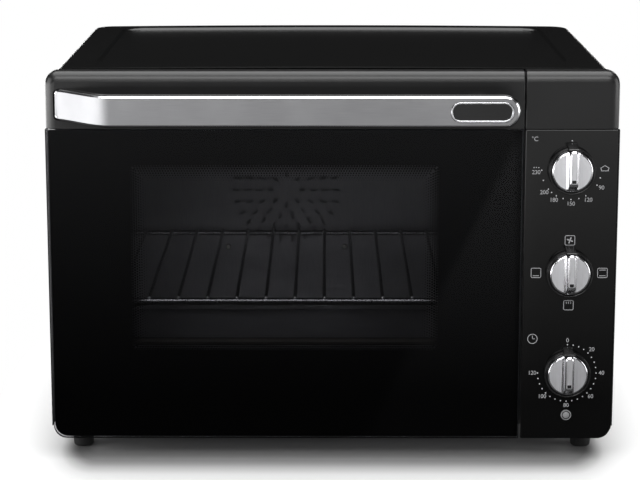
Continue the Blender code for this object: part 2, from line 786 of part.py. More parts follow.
def hinge_bracket(name, low_x, inward):
    """Plate on the front frame that holds the hinge pin, with a foot that is spot-welded to the frame."""
    back = CABINET_FRONT - GAP
    low = (HINGE_Y - 0.0045, HINGE_Z - 0.0045)
    outline = rounded_outline(low, (back, 0.0800), (0.003, 0, 0, 0.003), 3)
    hole = circle_outline((HINGE_Y, HINGE_Z), PIN_HOLE)
    plate = prism(name, [outline, hole], "X", low_x, low_x + HINGE_SHEET, ZINC)
    near = low_x + HINGE_SHEET / 2
    far = near + inward * 0.0100
    flange_low = (min(near, far), back - 0.0012, 0.0480)
    flange_high = (max(near, far), back, 0.0790)
    return join(plate, box(name + "_flange", flange_low, flange_high, ZINC))


def hinge_pin(name, head_x, inward):
    """Pin with a flat head on the outer side of the bracket."""
    head, length = 0.0016, 0.0064
    head_radius = 0.0042
    profile = [
        (0, 0),
        (head_radius, 0),
        (head_radius, -head),
        (PIN_RADIUS, -head),
        (PIN_RADIUS, -length),
        (0, -length),
    ]
    return turned(name, profile, (-inward, 0, 0), (head_x, HINGE_Y, HINGE_Z), ZINC, 16)


def handle_line(reach, steps=8):
    """Plan points (x, y) of the handle's face: off the door on the left, then straight to the right."""
    points = []
    for step in range(steps + 1):
        share = step / steps
        x = HANDLE_LEFT + (HANDLE_SWEEP_END - HANDLE_LEFT) * share
        rise = math.sin(math.pi / 2 * share**1.3)
        points.append(Vector((x, FRONT - GAP - (reach - GAP) * rise)))
    points.append(Vector((HANDLE_RIGHT + 0.010, FRONT - reach)))
    return points


def offset_line(points, distance):
    """The same line moved towards the door, each point along its own normal."""
    moved = []
    for number, point in enumerate(points):
        before = points[max(number - 1, 0)]
        after = points[min(number + 1, len(points) - 1)]
        along = (after - before).normalized()
        moved.append(point + Vector((-along.y, along.x)) * distance)
    return moved


def handle_strip(name, near, far, border, mat):
    """A strip between two offsets of the handle's face, trimmed to the handle's outline."""
    line = handle_line(HANDLE_REACH)
    outer = offset_line(line, near)
    inner = offset_line(line, far)
    door_face = FRONT - GAP
    plan = [(p.x, min(p.y, door_face)) for p in [*outer, *reversed(inner)]]
    half = HANDLE_HEIGHT / 2 + border
    strip = prism(name, [plan], "Z", HANDLE_Z - half - 0.01, HANDLE_Z + half + 0.01, mat)
    outline = rounded_outline(
        (HANDLE_LEFT - border, HANDLE_Z - half),
        (HANDLE_RIGHT + border, HANDLE_Z + half),
        (0.003, half - 0.0001, half - 0.0001, 0.003),
        8,
    )
    trim = prism(name + "_outline_tool", [outline], "Y", HANDLE_FRONT - 0.01, FRONT + 0.005, mat)
    return boolean(strip, trim, "INTERSECT")


def handle_body():
    """Moulded core of the handle: it joins the door at the swept end and on a post at the other."""
    near = HANDLE_PLATE + GAP
    body = handle_strip("handle_body", near, near + HANDLE_BODY, HANDLE_BORDER, BLACK_PLASTIC)
    post_centre = 0.1180
    top = HANDLE_FRONT + HANDLE_PLATE + 0.004
    outline = rounded_outline(
        (post_centre - 0.012, HANDLE_Z - 0.008), (post_centre + 0.012, HANDLE_Z + 0.008), (0.0078,) * 4, 4
    )
    return join(body, prism("handle_post", [outline], "Y", top, FRONT - GAP, BLACK_PLASTIC))


def handle_plate():
    return handle_strip("handle_plate", 0, HANDLE_PLATE, 0, BRUSHED)


def badge_plate():
    """Blank oval badge, let into the right-hand end of the handle's face."""
    outline = rounded_outline((0.0935, 0.2889), (0.1435, 0.3051), (0.0080,) * 4, 6)
    return prism("badge_plate", [outline], "Y", HANDLE_FRONT + 0.0002, HANDLE_FRONT + 0.0012, BLACK_PLASTIC)


# ---------------------------------------------------------------- controls
def control_openings(radius, pilot):
    holes = [circle_outline((COLUMN_X, z), radius) for z in KNOB_HEIGHTS.values()]
    return [*holes, circle_outline((COLUMN_X, PILOT_Z), pilot, 20)]


def control_panel():
    """Glossy panel that carries the scales."""
    high = (HALF_WIDTH - EDGE_TRIM, GLASS_TOP)
    outline = front_outline((COLUMN_LEFT, FRONT_BOTTOM), high, ("low_right",))
    openings = control_openings(0.0045, 0.0039)
    return prism("control_panel", [outline, *openings], "Y", FRONT, FRONT + GLASS_THICKNESS, BLACK_GLASS)


def fascia_frame():
    """Moulding behind the control panel, with a thin rim at its right."""
    front = FRONT + GLASS_THICKNESS + GAP
    outline = front_outline((COLUMN_LEFT, FRONT_BOTTOM), (HALF_WIDTH, GLASS_TOP), ("low_right",))
    openings = control_openings(0.0050, 0.0043)
    frame = prism("fascia_frame", [outline, *openings], "Y", front, -0.1440, DARK_PLASTIC)
    wall = 0.0030
    low = (COLUMN_LEFT + wall, front + wall, FRONT_BOTTOM + wall)
    high = (HALF_WIDTH - wall, -0.1300, GLASS_TOP - wall)
    cut(frame, box("fascia_hollow", low, high, DARK_PLASTIC, 0.004))
    rim_low = (HALF_WIDTH - EDGE_TRIM + GAP, FRONT, FRONT_BOTTOM + FRONT_CORNER)
    rim_high = (HALF_WIDTH, front + 0.002, GLASS_TOP)
    return join(frame, box("fascia_rim", rim_low, rim_high, DARK_PLASTIC))


def control_bracket():
    """Sheet behind the fascia that the thermostat, selector and timer are bolted to."""
    outline = rectangle((0.1600, 0.0300), (0.2220, 0.3020))
    holes = control_openings(0.0050, 0.0050)
    return prism("control_bracket", [outline, *holes], "Y", BRACKET_FRONT, BRACKET_FRONT + SHEET, ZINC)


def control_body(name, half_width, half_height, depth, mat, corner):
    """Body of a control behind the bracket, with the bore that its shaft turns in."""
    z = KNOB_HEIGHTS[name]
    front = BRACKET_FRONT + SHEET + GAP
    low = (COLUMN_X - half_width, z - half_height)
    high = (COLUMN_X + half_width, z + half_height)
    outline = rounded_outline(low, high, (corner,) * 4)
    body = prism(f"{name}_body", [outline], "Y", front, front + depth, mat)
    hole = circle_outline((COLUMN_X, z), SHAFT_HOLE)
    return cut(body, prism(f"{name}_bore", [hole], "Y", front - 0.01, front + 0.0100, mat))


def control_shaft(name):
    """Shaft from inside the control's body to inside the knob."""
    inner_end = BRACKET_FRONT + SHEET + GAP + 0.0090
    outer_end = FRONT - 0.0048
    length = inner_end - outer_end
    profile = [(0, 0), (SHAFT_RADIUS, 0), (SHAFT_RADIUS, -length), (0, -length)]
    place = (COLUMN_X, outer_end, KNOB_HEIGHTS[name])
    return turned(f"{name}_shaft", profile, FORWARD, place, ZINC, 16)


def knob_body(name):
    """Black knob body: a dished disc with a pointer that stands out at the top."""
    z = KNOB_HEIGHTS[name]
    place = (COLUMN_X, FRONT, z)
    profile = [
        (0, 0.0060),
        (0.0172, 0.0060),
        (0.0180, 0.0070),
        (0.0189, 0.0070),
        (KNOB_RADIUS, 0.0064),
        (KNOB_RADIUS, 0.0005),
        (SHAFT_HOLE, 0.0005),
        (SHAFT_HOLE, 0.0052),
        (0, 0.0052),
    ]
    body = turned(f"{name}_knob_body", profile, FORWARD, place, BLACK_PLASTIC, 28)
    side = [
        (FRONT - 0.0050, z + 0.0182),
        (FRONT - 0.0050, z + BAR_TOP + GAP),
        (FRONT - 0.0170, z + BAR_TOP + GAP),
        (FRONT - 0.0160, z + 0.0202),
        (FRONT - 0.0032, z + POINTER_REACH),
        (FRONT - 0.0010, z + POINTER_REACH),
        (FRONT - 0.0010, z + 0.0182),
    ]
    half = POINTER_WIDTH / 2
    return join(body, prism(f"{name}_pointer", [side], "X", COLUMN_X - half, COLUMN_X + half, BLACK_PLASTIC))


def knob_face(name):
    """Metal face with the raised finger bar."""
    z = KNOB_HEIGHTS[name]
    base = 0.0060 + GAP
    top = 0.0090
    edge = 0.0006
    profile = [
        (0, top),
        (KNOB_FACE_RADIUS - edge, top),
        (KNOB_FACE_RADIUS, top - edge),
        (KNOB_FACE_RADIUS, base),
        (0, base),
    ]
    face = turned(f"{name}_knob_face", profile, FORWARD, (COLUMN_X, FRONT, z), BRUSHED, 28)
    side = [
        (FRONT - 0.0075, z + BAR_TOP),
        (FRONT - 0.0075, z - 0.0148),
        (FRONT - 0.0096, z - 0.0148),
        (FRONT - 0.0200, z - 0.0098),
        (FRONT - 0.0210, z - 0.0088),
        (FRONT - 0.0210, z + BAR_TOP - 0.0014),
        (FRONT - 0.0198, z + BAR_TOP),
    ]
    half = FINGER_BAR_WIDTH / 2
    return join(face, prism(f"{name}_finger_bar", [side], "X", COLUMN_X - half, COLUMN_X + half, BRUSHED))


def pilot_lens():
    profile = [
        (0, 0.0022),
        (0.0018, 0.0019),
        (0.0030, 0.0012),
        (0.0036, 0.0014),
        (0.0044, 0.0012),
        (0.0044, GAP),
        (0.0035, GAP),
        (0.0035, -0.0080),
        (0, -0.0080),
    ]
    return turned("pilot_lens", profile, FORWARD, (COLUMN_X, FRONT, PILOT_Z), LENS, 16)


def pilot_lamp():
    """Neon lamp in its holder behind the lens."""
    place = (COLUMN_X, FRONT + 0.0080 + GAP, PILOT_Z)
    profile = [
        (0, 0),
        (0.0032, 0),
        (0.0036, -0.0010),
        (0.0036, -0.0260),
        (0.0045, -0.0290),
        (0.0045, -0.0420),
        (0, -0.0420),
    ]
    return turned("pilot_lamp", profile, FORWARD, place, CERAMIC, 12)


def timer_bell():
    """Bell cup that the timer strikes, on a post on the cavity side."""
    profile = [
        (0, 0.0120),
        (0.0120, 0.0105),
        (0.0170, 0.0060),
        (0.0180, 0),
        (0.0170, 0),
        (0.0160, 0.0052),
        (0.0115, 0.0092),
        (0.0030, 0.0105),
        (0.0030, -0.0060),
        (0, -0.0060),
    ]
    return turned("timer_bell", profile, BACKWARD, (COLUMN_X, -0.0660, KNOB_HEIGHTS["timer"]), ZINC, 16)


def terminal_block():
    low = (0.1640, 0.1000, CABINET_BOTTOM + 0.0015 + GAP)
    return box("terminal_block", low, (0.2040, 0.1180, low[2] + 0.0140), PHENOLIC, 0.0015)


def cable_gland():
    """Bush in the back for the mains lead, with an open bore."""
    profile = [
        (0.0040, 0.0130),
        (0.0062, 0.0130),
        (0.0088, 0.0040),
        (0.0115, 0.0030),
        (0.0115, GAP),
        (0.0076, GAP),
        (0.0076, -0.0060),
        (0.0040, -0.0060),
    ]
    return turned("cable_gland", profile, BACKWARD, (0.1800, 0.1710, 0.0500), BLACK_PLASTIC, 16, ring=True)


# ---------------------------------------------------------------- assembly
def build_cabinet():
    outer_wrap()
    base_plate()
    rear_panel()
    motor_cover()
    front_frame()
    feet()
    cavity_liner()
    side_guide("side_guide_left", CAVITY_LEFT, 1)
    side_guide("side_guide_right", CAVITY_RIGHT, -1)
    crumb_tray()
    for level, z in HEATER_HEIGHTS.items():
        heater(f"{level}_heater", z)
        heater_bush(f"{level}_heater_bush_front", HEATER_FRONT, z)
        heater_bush(f"{level}_heater_bush_rear", HEATER_REAR, z)
    terminal_block()
    cable_gland()


def build_fan():
    fan_grille()
    fan_chamber()
    fan_motor()
    axis = pivot("fan_pivot", (FAN_X, 0.1620, FAN_Z))
    hang(axis, fan_blade(), fan_shaft())


def build_rack():
    guide = pivot("rack_guide", (CAVITY_X, RACK_LOW[1], RACK_Z))
    hang(guide, rack())


def build_door():
    hinge_bracket("hinge_bracket_left", -0.2228, 1)
    hinge_bracket("hinge_bracket_right", 0.1433, -1)
    hinge_pin("hinge_pin_left", -0.2247, 1)
    hinge_pin("hinge_pin_right", 0.1467, -1)
    axis = pivot("door_pivot", (0, HINGE_Y, HINGE_Z))
    rail = moulded_cap("door_top_rail", -HALF_WIDTH, DOOR_RIGHT, RAIL_BACK, ("high_left",))
    panels = [door_glass(), door_side_trim(), rail, door_inner_frame()]
    arms = [hinge_arm("hinge_arm_left", -0.2200), hinge_arm("hinge_arm_right", 0.1405)]
    plate = handle_plate()
    recess = rounded_outline((0.0932, 0.2886), (0.1438, 0.3054), (0.0083,) * 4, 6)
    cut(plate, prism("badge_recess", [recess], "Y", HANDLE_FRONT - 0.005, HANDLE_FRONT + 0.010, BRUSHED))
    hang(axis, *panels, *arms, handle_body(), plate, badge_plate())


def build_controls():
    control_panel()
    fascia_frame()
    moulded_cap("control_cap", COLUMN_LEFT, HALF_WIDTH, -0.1440, ("high_right",))
    control_bracket()
    control_body("thermostat", 0.0190, 0.0190, 0.0220, CERAMIC, 0.004)
    control_body("selector", 0.0210, 0.0210, 0.0320, PHENOLIC, 0.0205)
    control_body("timer", 0.0240, 0.0240, 0.0480, ZINC, 0.004)
    pilot_lens()
    pilot_lamp()
    timer_bell()
    for name, z in KNOB_HEIGHTS.items():
        axis = pivot(f"{name}_pivot", (COLUMN_X, FRONT, z))
        hang(axis, knob_body(name), knob_face(name), control_shaft(name))


build_cabinet()
build_fan()
build_rack()
build_door()
build_controls()
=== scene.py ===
"""Looks for the countertop toaster oven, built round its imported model. Units are metres."""

import json
import math

import bmesh
import bpy
from mathutils import Matrix, Vector


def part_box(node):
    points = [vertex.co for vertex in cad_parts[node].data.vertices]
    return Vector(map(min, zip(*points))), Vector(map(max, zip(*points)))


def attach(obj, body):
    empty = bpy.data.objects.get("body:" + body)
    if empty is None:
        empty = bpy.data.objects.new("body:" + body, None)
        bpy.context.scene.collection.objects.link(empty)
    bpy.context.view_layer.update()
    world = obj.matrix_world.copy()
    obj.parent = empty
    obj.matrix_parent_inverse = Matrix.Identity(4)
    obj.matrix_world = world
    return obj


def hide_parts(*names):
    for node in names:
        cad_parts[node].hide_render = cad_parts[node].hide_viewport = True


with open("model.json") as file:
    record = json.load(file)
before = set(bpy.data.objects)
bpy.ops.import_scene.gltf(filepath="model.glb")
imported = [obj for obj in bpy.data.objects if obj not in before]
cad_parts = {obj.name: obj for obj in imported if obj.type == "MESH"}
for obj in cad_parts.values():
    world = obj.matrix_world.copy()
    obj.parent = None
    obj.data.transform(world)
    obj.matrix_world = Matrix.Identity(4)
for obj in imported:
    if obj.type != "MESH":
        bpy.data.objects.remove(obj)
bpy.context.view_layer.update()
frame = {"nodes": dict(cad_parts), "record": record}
NODES = frame["nodes"]

# ---------------- places, read from the frame
PANE_LOW, PANE_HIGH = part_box("door_glass")
PANEL_LOW, PANEL_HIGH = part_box("control_panel")
RAIL_LOW, RAIL_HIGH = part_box("door_top_rail")
CAP_LOW, CAP_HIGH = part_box("control_cap")
WRAP_LOW, WRAP_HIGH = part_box("outer_wrap")
GRIP_LOW, GRIP_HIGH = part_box("handle_plate")
BADGE_LOW, BADGE_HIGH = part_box("badge_plate")
RACK_LOW, RACK_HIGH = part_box("rack")
LENS_LOW, LENS_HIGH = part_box("pilot_lens")
GRILLE_LOW, GRILLE_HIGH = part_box("fan_grille")
REAR_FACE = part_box("rear_panel")[1].y
COVER_LOW, COVER_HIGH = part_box("motor_cover")
BASE_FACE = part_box("base_plate")[0].z
PAN_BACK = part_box("door_inner_frame")[1].y

FACE = PANEL_LOW.y  # the front face of the glass and the panel
SHAFTS = {name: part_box(f"{name}_shaft") for name in ("thermostat", "selector", "timer")}
COLUMN_X = (SHAFTS["timer"][0].x + SHAFTS["timer"][1].x) / 2
KNOB_Z = {name: (low.z + high.z) / 2 for name, (low, high) in SHAFTS.items()}
CORNER = 0.011  # the front's outer corners, seen from the front
SMALL = 0.0008  # and its inner ones
WINDOW_LOW = (-0.1647, 0.0924)  # x, z of the clear part of the door's glass
WINDOW_HIGH = (0.0868, 0.2474)
MM = 0.001
FORWARD = (0, -1, 0)


# ---------------- materials
def new_material(name):
    mat = bpy.data.materials.new(name)
    mat.use_nodes = True
    return mat, mat.node_tree


def feed(tree, socket, value):
    """Links a node's output to an input, or sets the input; None leaves it as it is."""
    if isinstance(value, bpy.types.NodeSocket):
        tree.links.new(value, socket)
    elif value is not None:
        socket.default_value = value


def fed(tree, kind, *values, output=0, **settings):
    """One output of a new shader node whose inputs are fed with the values in turn."""
    node = tree.nodes.new(f"ShaderNode{kind}")
    for name, setting in settings.items():
        setattr(node, name, setting)
    for socket, value in zip(node.inputs, values):
        feed(tree, socket, value)
    return node.outputs[output]


def show(tree, kind, surface):
    """Makes a shader what the material or the world shows."""
    feed(tree, tree.nodes.new(f"ShaderNodeOutput{kind}").inputs["Surface"], surface)


def object_noise(tree, scale, stretch=(1, 1, 1), detail=3.0):
    """A noise texture in the piece's own metres; a small stretch makes streaks along that axis."""
    place_in = fed(tree, "Mapping", fed(tree, "TexCoord", output="Object"), None, None, stretch)
    return fed(tree, "TexNoise", place_in, None, scale, detail)


def spread(tree, source, low, high, start=0.3, end=0.7):
    """Maps start..end of a value to low..high."""
    return fed(tree, "MapRange", source, start, end, low, high)


def tint(tree, source, low, high):
    """A colour between two tones, led by a noise."""
    mix = tree.nodes.new("ShaderNodeMix")
    mix.data_type = "RGBA"
    mix.inputs["A"].default_value = (*low, 1)
    mix.inputs["B"].default_value = (*high, 1)
    feed(tree, mix.inputs["Factor"], spread(tree, source, 0, 1))
    return mix.outputs["Result"]


def colour(tone):
    """A colour as it is, or a nearly neutral grey from one number."""
    return tone if isinstance(tone, tuple) else (tone, tone, tone * 1.03)


def finish(
    name, low, high, roughness, metallic=0.0, grain=900, stretch=(1, 1, 1), bump=0.0, patch=25, specular=0.5
):
    """A material with a drifting tone, a grain in its roughness and, with bump, in its surface."""
    mat, tree = new_material(name)
    shader = tree.nodes["Principled BSDF"].inputs
    shader["Metallic"].default_value = metallic
    shader["Specular IOR Level"].default_value = specular
    fine = object_noise(tree, grain, stretch)
    broad = object_noise(tree, patch, detail=2)
    both = fed(tree, "Math", fine, 0.6, spread(tree, broad, 0.1, 0.3), operation="MULTIPLY_ADD")
    feed(tree, shader["Base Color"], tint(tree, both, colour(low), colour(high)))
    feed(tree, shader["Roughness"], spread(tree, fine, *roughness))
    if bump:
        relief = tree.nodes.new("ShaderNodeBump")
        relief.inputs["Strength"].default_value = bump
        relief.inputs["Distance"].default_value = 0.00005
        feed(tree, relief.inputs["Height"], fine)
        feed(tree, shader["Normal"], relief.outputs["Normal"])
    return mat


def tinted_glass():
    """Clear dark glass: what is behind it is dimmed, and it mirrors a little more at a slant."""
    mat, tree = new_material("tinted_glass")
    tree.nodes.clear()
    clear = fed(tree, "BsdfTransparent", (0.72, 0.72, 0.73, 1))
    gloss = fed(tree, "BsdfGlossy", (0.62, 0.62, 0.64, 1), 0.03)
    slant = fed(tree, "Fresnel", 1.25)
    show(tree, "Material", fed(tree, "MixShader", slant, clear, gloss))
    return mat


ALONG, UP = (0.02, 1, 1), (1, 1, 0.02)  # brushing along X and along Z
BLACK_PAINT = finish("black_paint", 0.0010, 0.0016, (0.20, 0.27), 0, 620, bump=0.06, patch=14, specular=0.42)
DARK_PLASTIC = finish("satin_plastic", 0.006, 0.009, (0.28, 0.34), grain=2400, bump=0.06, specular=0.42)
BLACK_PLASTIC = finish("gloss_plastic", 0.004, 0.007, (0.16, 0.24), grain=1500, bump=0.03)
PANEL_BLACK = finish("panel_black", 0.0010, 0.0016, (0.09, 0.12), grain=700)
PRINT_BLACK = finish("glass_print", 0.0006, 0.0010, (0.55, 0.65), grain=3000, specular=0.05)
BRUSHED = finish("brushed_along", 0.29, 0.37, (0.38, 0.52), 1.0, 2600, ALONG, 0.12)
BRUSHED_UP = finish("brushed_up", 0.80, 0.88, (0.46, 0.56), 1.0, 2600, UP, 0.08)
POLISHED = finish("polished_edge", 0.84, 0.90, (0.16, 0.24), 1.0, 1800, bump=0.02)
CHROME = finish("chrome_plate", 0.80, 0.88, (0.24, 0.34), 1.0, 900, bump=0.05)
# The rack's chrome made darker, a painted shade; the rods' ends keep the bright chrome as a painted highlight
SHADED_CHROME = finish("shaded_rack_chrome", 0.22, 0.30, (0.24, 0.34), 1.0, 900, bump=0.05)
ALUMINISED = finish("aluminised_sheet", 0.30, 0.42, (0.34, 0.55), 1.0, 1100, (1, 1, 0.08), 0.12)
ZINC = finish("zinc_plate", (0.42, 0.43, 0.41), (0.55, 0.54, 0.50), (0.26, 0.44), 1.0, 1400, bump=0.10)
SHEATH = finish(
    "heater_sheath", (0.035, 0.033, 0.031), (0.07, 0.062, 0.056), (0.50, 0.68), 0.6, 700, bump=0.25
)
CERAMIC = finish("bush_ceramic", (0.66, 0.62, 0.54), (0.78, 0.75, 0.69), (0.5, 0.7), 0, 2600, bump=0.25)
LENS = finish("lens_plastic", 0.15, 0.20, (0.16, 0.24), grain=1800, bump=0.03, specular=0.3)
RUBBER = finish("foot_rubber", 0.010, 0.020, (0.66, 0.84), grain=2800, bump=0.30)
PHENOLIC = finish("phenolic", (0.030, 0.022, 0.016), (0.050, 0.036, 0.026), (0.45, 0.62), 0, 1800, bump=0.18)
INK = finish("scale_ink", 0.36, 0.46, (0.50, 0.62), grain=2500, specular=0.2)
DIM_INK = finish("number_ink", 0.24, 0.32, (0.50, 0.62), grain=2500, specular=0.2)
WIRE_WHITE = finish("wire_white", (0.50, 0.49, 0.46), (0.60, 0.58, 0.54), (0.5, 0.7), 0, 2600, bump=0.2)
GLASS = tinted_glass()


# ---------------- building blocks
def as_object(name, data, mats):
    piece = bpy.data.objects.new(name, data)
    for mat in mats:
        data.materials.append(mat)
    bpy.context.scene.collection.objects.link(piece)
    return piece


def from_bmesh(name, bm, mats, angle=35, flat=False):
    """Turns a bmesh into a smooth-shaded piece; with flat, faces square to an axis stay flat."""
    bmesh.ops.remove_doubles(bm, verts=bm.verts, dist=1e-6)
    bmesh.ops.recalc_face_normals(bm, faces=bm.faces)
    bm.faces.index_update()
    bm.edges.index_update()
    square = [flat and max(abs(part) for part in face.normal) > 0.99995 for face in bm.faces]
    hard = [edge.index for edge in bm.edges if len({square[face.index] for face in edge.link_faces}) == 2]
    mesh = bpy.data.meshes.new(name)
    bm.to_mesh(mesh)
    bm.free()
    mesh.shade_smooth()
    mesh.set_sharp_from_angle(angle=math.radians(angle))
    for index in hard:
        mesh.edges[index].use_edge_sharp = True
    return as_object(name, mesh, mats)


def applied(piece, flat=False):
    """Replaces the piece's mesh with what its modifiers and curve settings make of it."""
    bpy.context.view_layer.update()
    graph = bpy.context.evaluated_depsgraph_get()
    mesh = bpy.data.meshes.new_from_object(piece.evaluated_get(graph))
    mesh.transform(piece.matrix_world)
    bm = bmesh.new()
    bm.from_mesh(mesh)
    name = piece.name
    mats = [mat for mat in mesh.materials if mat]
    bpy.data.objects.remove(piece, do_unlink=True)
    return from_bmesh(name, bm, mats, flat=flat)


def place(piece, body, slot, *nodes):
    """Rides the piece on a body and hides the nodes that it stands for; slot is not used."""
    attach(piece, body)
    if nodes:
        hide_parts(*nodes)
    return piece


def rounded(low, high, radius, steps=6):
    """Outline of a rectangle, anticlockwise; radius is one number or four, from the lower left."""
    radii = radius if isinstance(radius, tuple) else (radius,) * 4
    (u0, v0), (u1, v1) = low, high
    corners = ((u0, v0, 1, 1, 180), (u1, v0, -1, 1, 270), (u1, v1, -1, -1, 0), (u0, v1, 1, -1, 90))
    points = []
    for (u, v, inward_u, inward_v, start), r in zip(corners, radii):
        r = max(r, 1e-5)
        for step in range(steps + 1):
            turn = math.radians(start + 90 * step / steps)
            points.append((u + inward_u * r + r * math.cos(turn), v + inward_v * r + r * math.sin(turn)))
    return points


def mm(points):
    """Points given in millimetres, in metres."""
    return [(u * MM, v * MM) for u, v in points]


def circle(centre, radius, sides=32):
    turns = [2 * math.pi * side / sides for side in range(sides)]
    return [(centre[0] + radius * math.cos(t), centre[1] + radius * math.sin(t)) for t in turns]


TOWARDS = {
    "X": Matrix(((0, 0, 1), (1, 0, 0), (0, 1, 0))).to_4x4(),
    "Y": Matrix(((1, 0, 0), (0, 0, -1), (0, 1, 0))).to_4x4(),
    "Z": Matrix.Identity(4),
}


def slab(name, outlines, axis, low, high, mats, bevel=0.0, steps=2):
    """A flat shape, its outline and then its holes, drawn out along an axis with rounded edges."""
    curve = bpy.data.curves.new(name, "CURVE")
    curve.dimensions = "2D"
    curve.fill_mode = "BOTH"
    curve.extrude = (high - low) / 2 - bevel
    curve.bevel_depth = bevel
    curve.bevel_resolution = steps
    curve.offset = -bevel
    for number, outline in enumerate(outlines):
        points = outline if number == 0 else outline[::-1]
        spline = curve.splines.new("POLY")
        spline.points.add(len(points) - 1)
        for point, (u, v) in zip(spline.points, points):
            point.co = (u, v, 0, 1)
        spline.use_cyclic_u = True
    piece = as_object(name, curve, mats)
    middle = (high + low) / 2
    offset = {"X": (middle, 0, 0), "Y": (0, middle, 0), "Z": (0, 0, middle)}[axis]
    piece.matrix_world = Matrix.Translation(offset) @ TOWARDS[axis]
    return applied(piece, flat=True)


def cube(bm, low, high):
    size = Vector(high) - Vector(low)
    centre = (Vector(high) + Vector(low)) / 2
    bmesh.ops.create_cube(bm, size=1, matrix=Matrix.Translation(centre) @ Matrix.Diagonal((*size, 1)))


def block(name, low, high, mats, edge=0.0006):
    """A block between two corners with softened edges."""
    bm = bmesh.new()
    cube(bm, low, high)
    bmesh.ops.bevel(bm, geom=bm.edges[:], offset=edge, segments=3, profile=0.5, affect="EDGES")
    return from_bmesh(name, bm, mats, flat=True)


def tube(name, lines, radius, mats, closed=False, sides=3, smooth=False):
    """Round wires along lists of points."""
    curve = bpy.data.curves.new(name, "CURVE")
    curve.dimensions = "3D"
    curve.bevel_depth = radius
    curve.bevel_resolution = sides
    curve.use_fill_caps = True
    for line in lines:
        spline = curve.splines.new("NURBS" if smooth else "POLY")
        spline.points.add(len(line) - 1)
        for point, spot in zip(spline.points, line):
            point.co = (*spot, 1)
        spline.use_cyclic_u = closed
        spline.use_endpoint_u = smooth
    return applied(as_object(name, curve, mats))


def turned(name, profile, centre, towards, mats, steps=64, other_rows=()):
    """A round piece: (radius, height) points turned about the line through centre along towards.

    The rows of faces in other_rows get the second material.
    """
    bm = bmesh.new()
    turn = Vector(towards).to_track_quat("Z", "Y").to_matrix().to_4x4()
    rings = []
    for radius, height in profile:
        rings.append([bm.verts.new((u, v, height)) for u, v in circle((0, 0), radius, steps)])
    for row, (first, second) in enumerate(zip(rings, rings[1:])):
        for step in range(steps):
            following = (step + 1) % steps
            face = bm.faces.new((first[step], first[following], second[following], second[step]))
            face.material_index = int(row in other_rows)
    bmesh.ops.transform(bm, matrix=Matrix.Translation(centre) @ turn, verts=bm.verts)
    bmesh.ops.remove_doubles(bm, verts=bm.verts, dist=1e-6)
    return from_bmesh(name, bm, mats, 30)


def loft(name, rings, mats, angle=35):
    """A closed solid through rings of points, capped at both ends."""
    bm = bmesh.new()
    made = [[bm.verts.new(point) for point in ring] for ring in rings]
    count = len(rings[0])
    for first, second in zip(made, made[1:]):
        for number in range(count):
            following = (number + 1) % count
            bm.faces.new((first[number], first[following], second[following], second[number]))
    bm.faces.new(made[0][::-1])
    bm.faces.new(made[-1])
    return from_bmesh(name, bm, mats, angle, True)


def boolean(piece, tool, operation="DIFFERENCE"):
    step = piece.modifiers.new("cut", "BOOLEAN")
    step.operation = operation
    step.solver = "EXACT"
    step.object = tool
    made = applied(piece, flat=True)
    bpy.data.objects.remove(tool, do_unlink=True)
    return made


def joined(name, pieces):
    """Several separate solids as one piece."""
    bm = bmesh.new()
    mats = []
    for piece in pieces:
        start = len(bm.faces)
        bm.from_mesh(piece.data)
        bm.faces.ensure_lookup_table()
        for face in bm.faces[start:]:
            mat = piece.data.materials[face.material_index]
            if mat not in mats:
                mats.append(mat)
            face.material_index = mats.index(mat)
        bpy.data.objects.remove(piece, do_unlink=True)
    return from_bmesh(name, bm, mats)


def mark_faces(piece, facing, index, least=0.985):
    """Gives the faces that look along a direction another of the piece's materials."""
    for face in piece.data.polygons:
        if face.normal.dot(Vector(facing)) > least:
            face.material_index = index


# ---------------- camera, light and floor
def make_camera():
    data = bpy.data.cameras.new("camera")
    data.sensor_width = 36
    data.lens = 123.12
    data.clip_start = 0.05
    camera = bpy.data.objects.new("camera", data)
    camera.location = (-0.0059, -1.911, 0.5530)
    camera.rotation_euler = (math.radians(90 - 11.844), 0, math.radians(0.135))
    bpy.context.scene.collection.objects.link(camera)
    bpy.context.scene.camera = camera


def area_light(name, spot, target, size, power):
    data = bpy.data.lights.new(name, "AREA")
    data.shape = "RECTANGLE"
    data.size, data.size_y = size
    data.energy = power
    light = bpy.data.objects.new(name, data)
    light.location = spot
    light.visible_camera = False
    light.rotation_euler = (Vector(target) - Vector(spot)).to_track_quat("-Z", "Y").to_euler()
    bpy.context.scene.collection.objects.link(light)


def make_lights():
    """Softboxes above, in front and at the sides, and a low one behind that the lid can't mirror."""
    area_light("top_softbox", (0.0, 0.12, 1.9), (0, 0.02, 0.2), (2.4, 1.9), 57)
    area_light("front_softbox", (0.0, -1.95, 1.95), (0, -0.1, 0.15), (2.6, 1.2), 52)
    area_light("low_softbox", (0.0, -2.6, 1.00), (0, -0.1, 0.12), (1.6, 0.4), 8)
    area_light("left_softbox", (-1.9, -0.55, 0.40), (0, -0.1, 0.2), (1.5, 1.7), 24)
    area_light("right_softbox", (2.0, -0.35, 0.45), (0, -0.1, 0.2), (1.2, 1.4), 14)
    area_light("back_softbox", (0.0, 1.9, 0.16), (0, 0.1, 0.14), (2.4, 0.28), 7)


WHITE = (1, 1, 1, 1)


def make_world():
    """White behind the oven; for light and mirror images a dim room."""
    world = bpy.data.worlds.new("studio")
    world.use_nodes = True
    tree = world.node_tree
    tree.nodes.clear()
    seen, room, mirrored = (fed(tree, "Background", WHITE, strength) for strength in (1.0, 0.35, 0.012))
    by_light = fed(tree, "MixShader", fed(tree, "LightPath", output="Is Glossy Ray"), room, mirrored)
    by_camera = fed(tree, "MixShader", fed(tree, "LightPath", output="Is Camera Ray"), by_light, seen)
    show(tree, "World", by_camera)
    bpy.context.scene.world = world
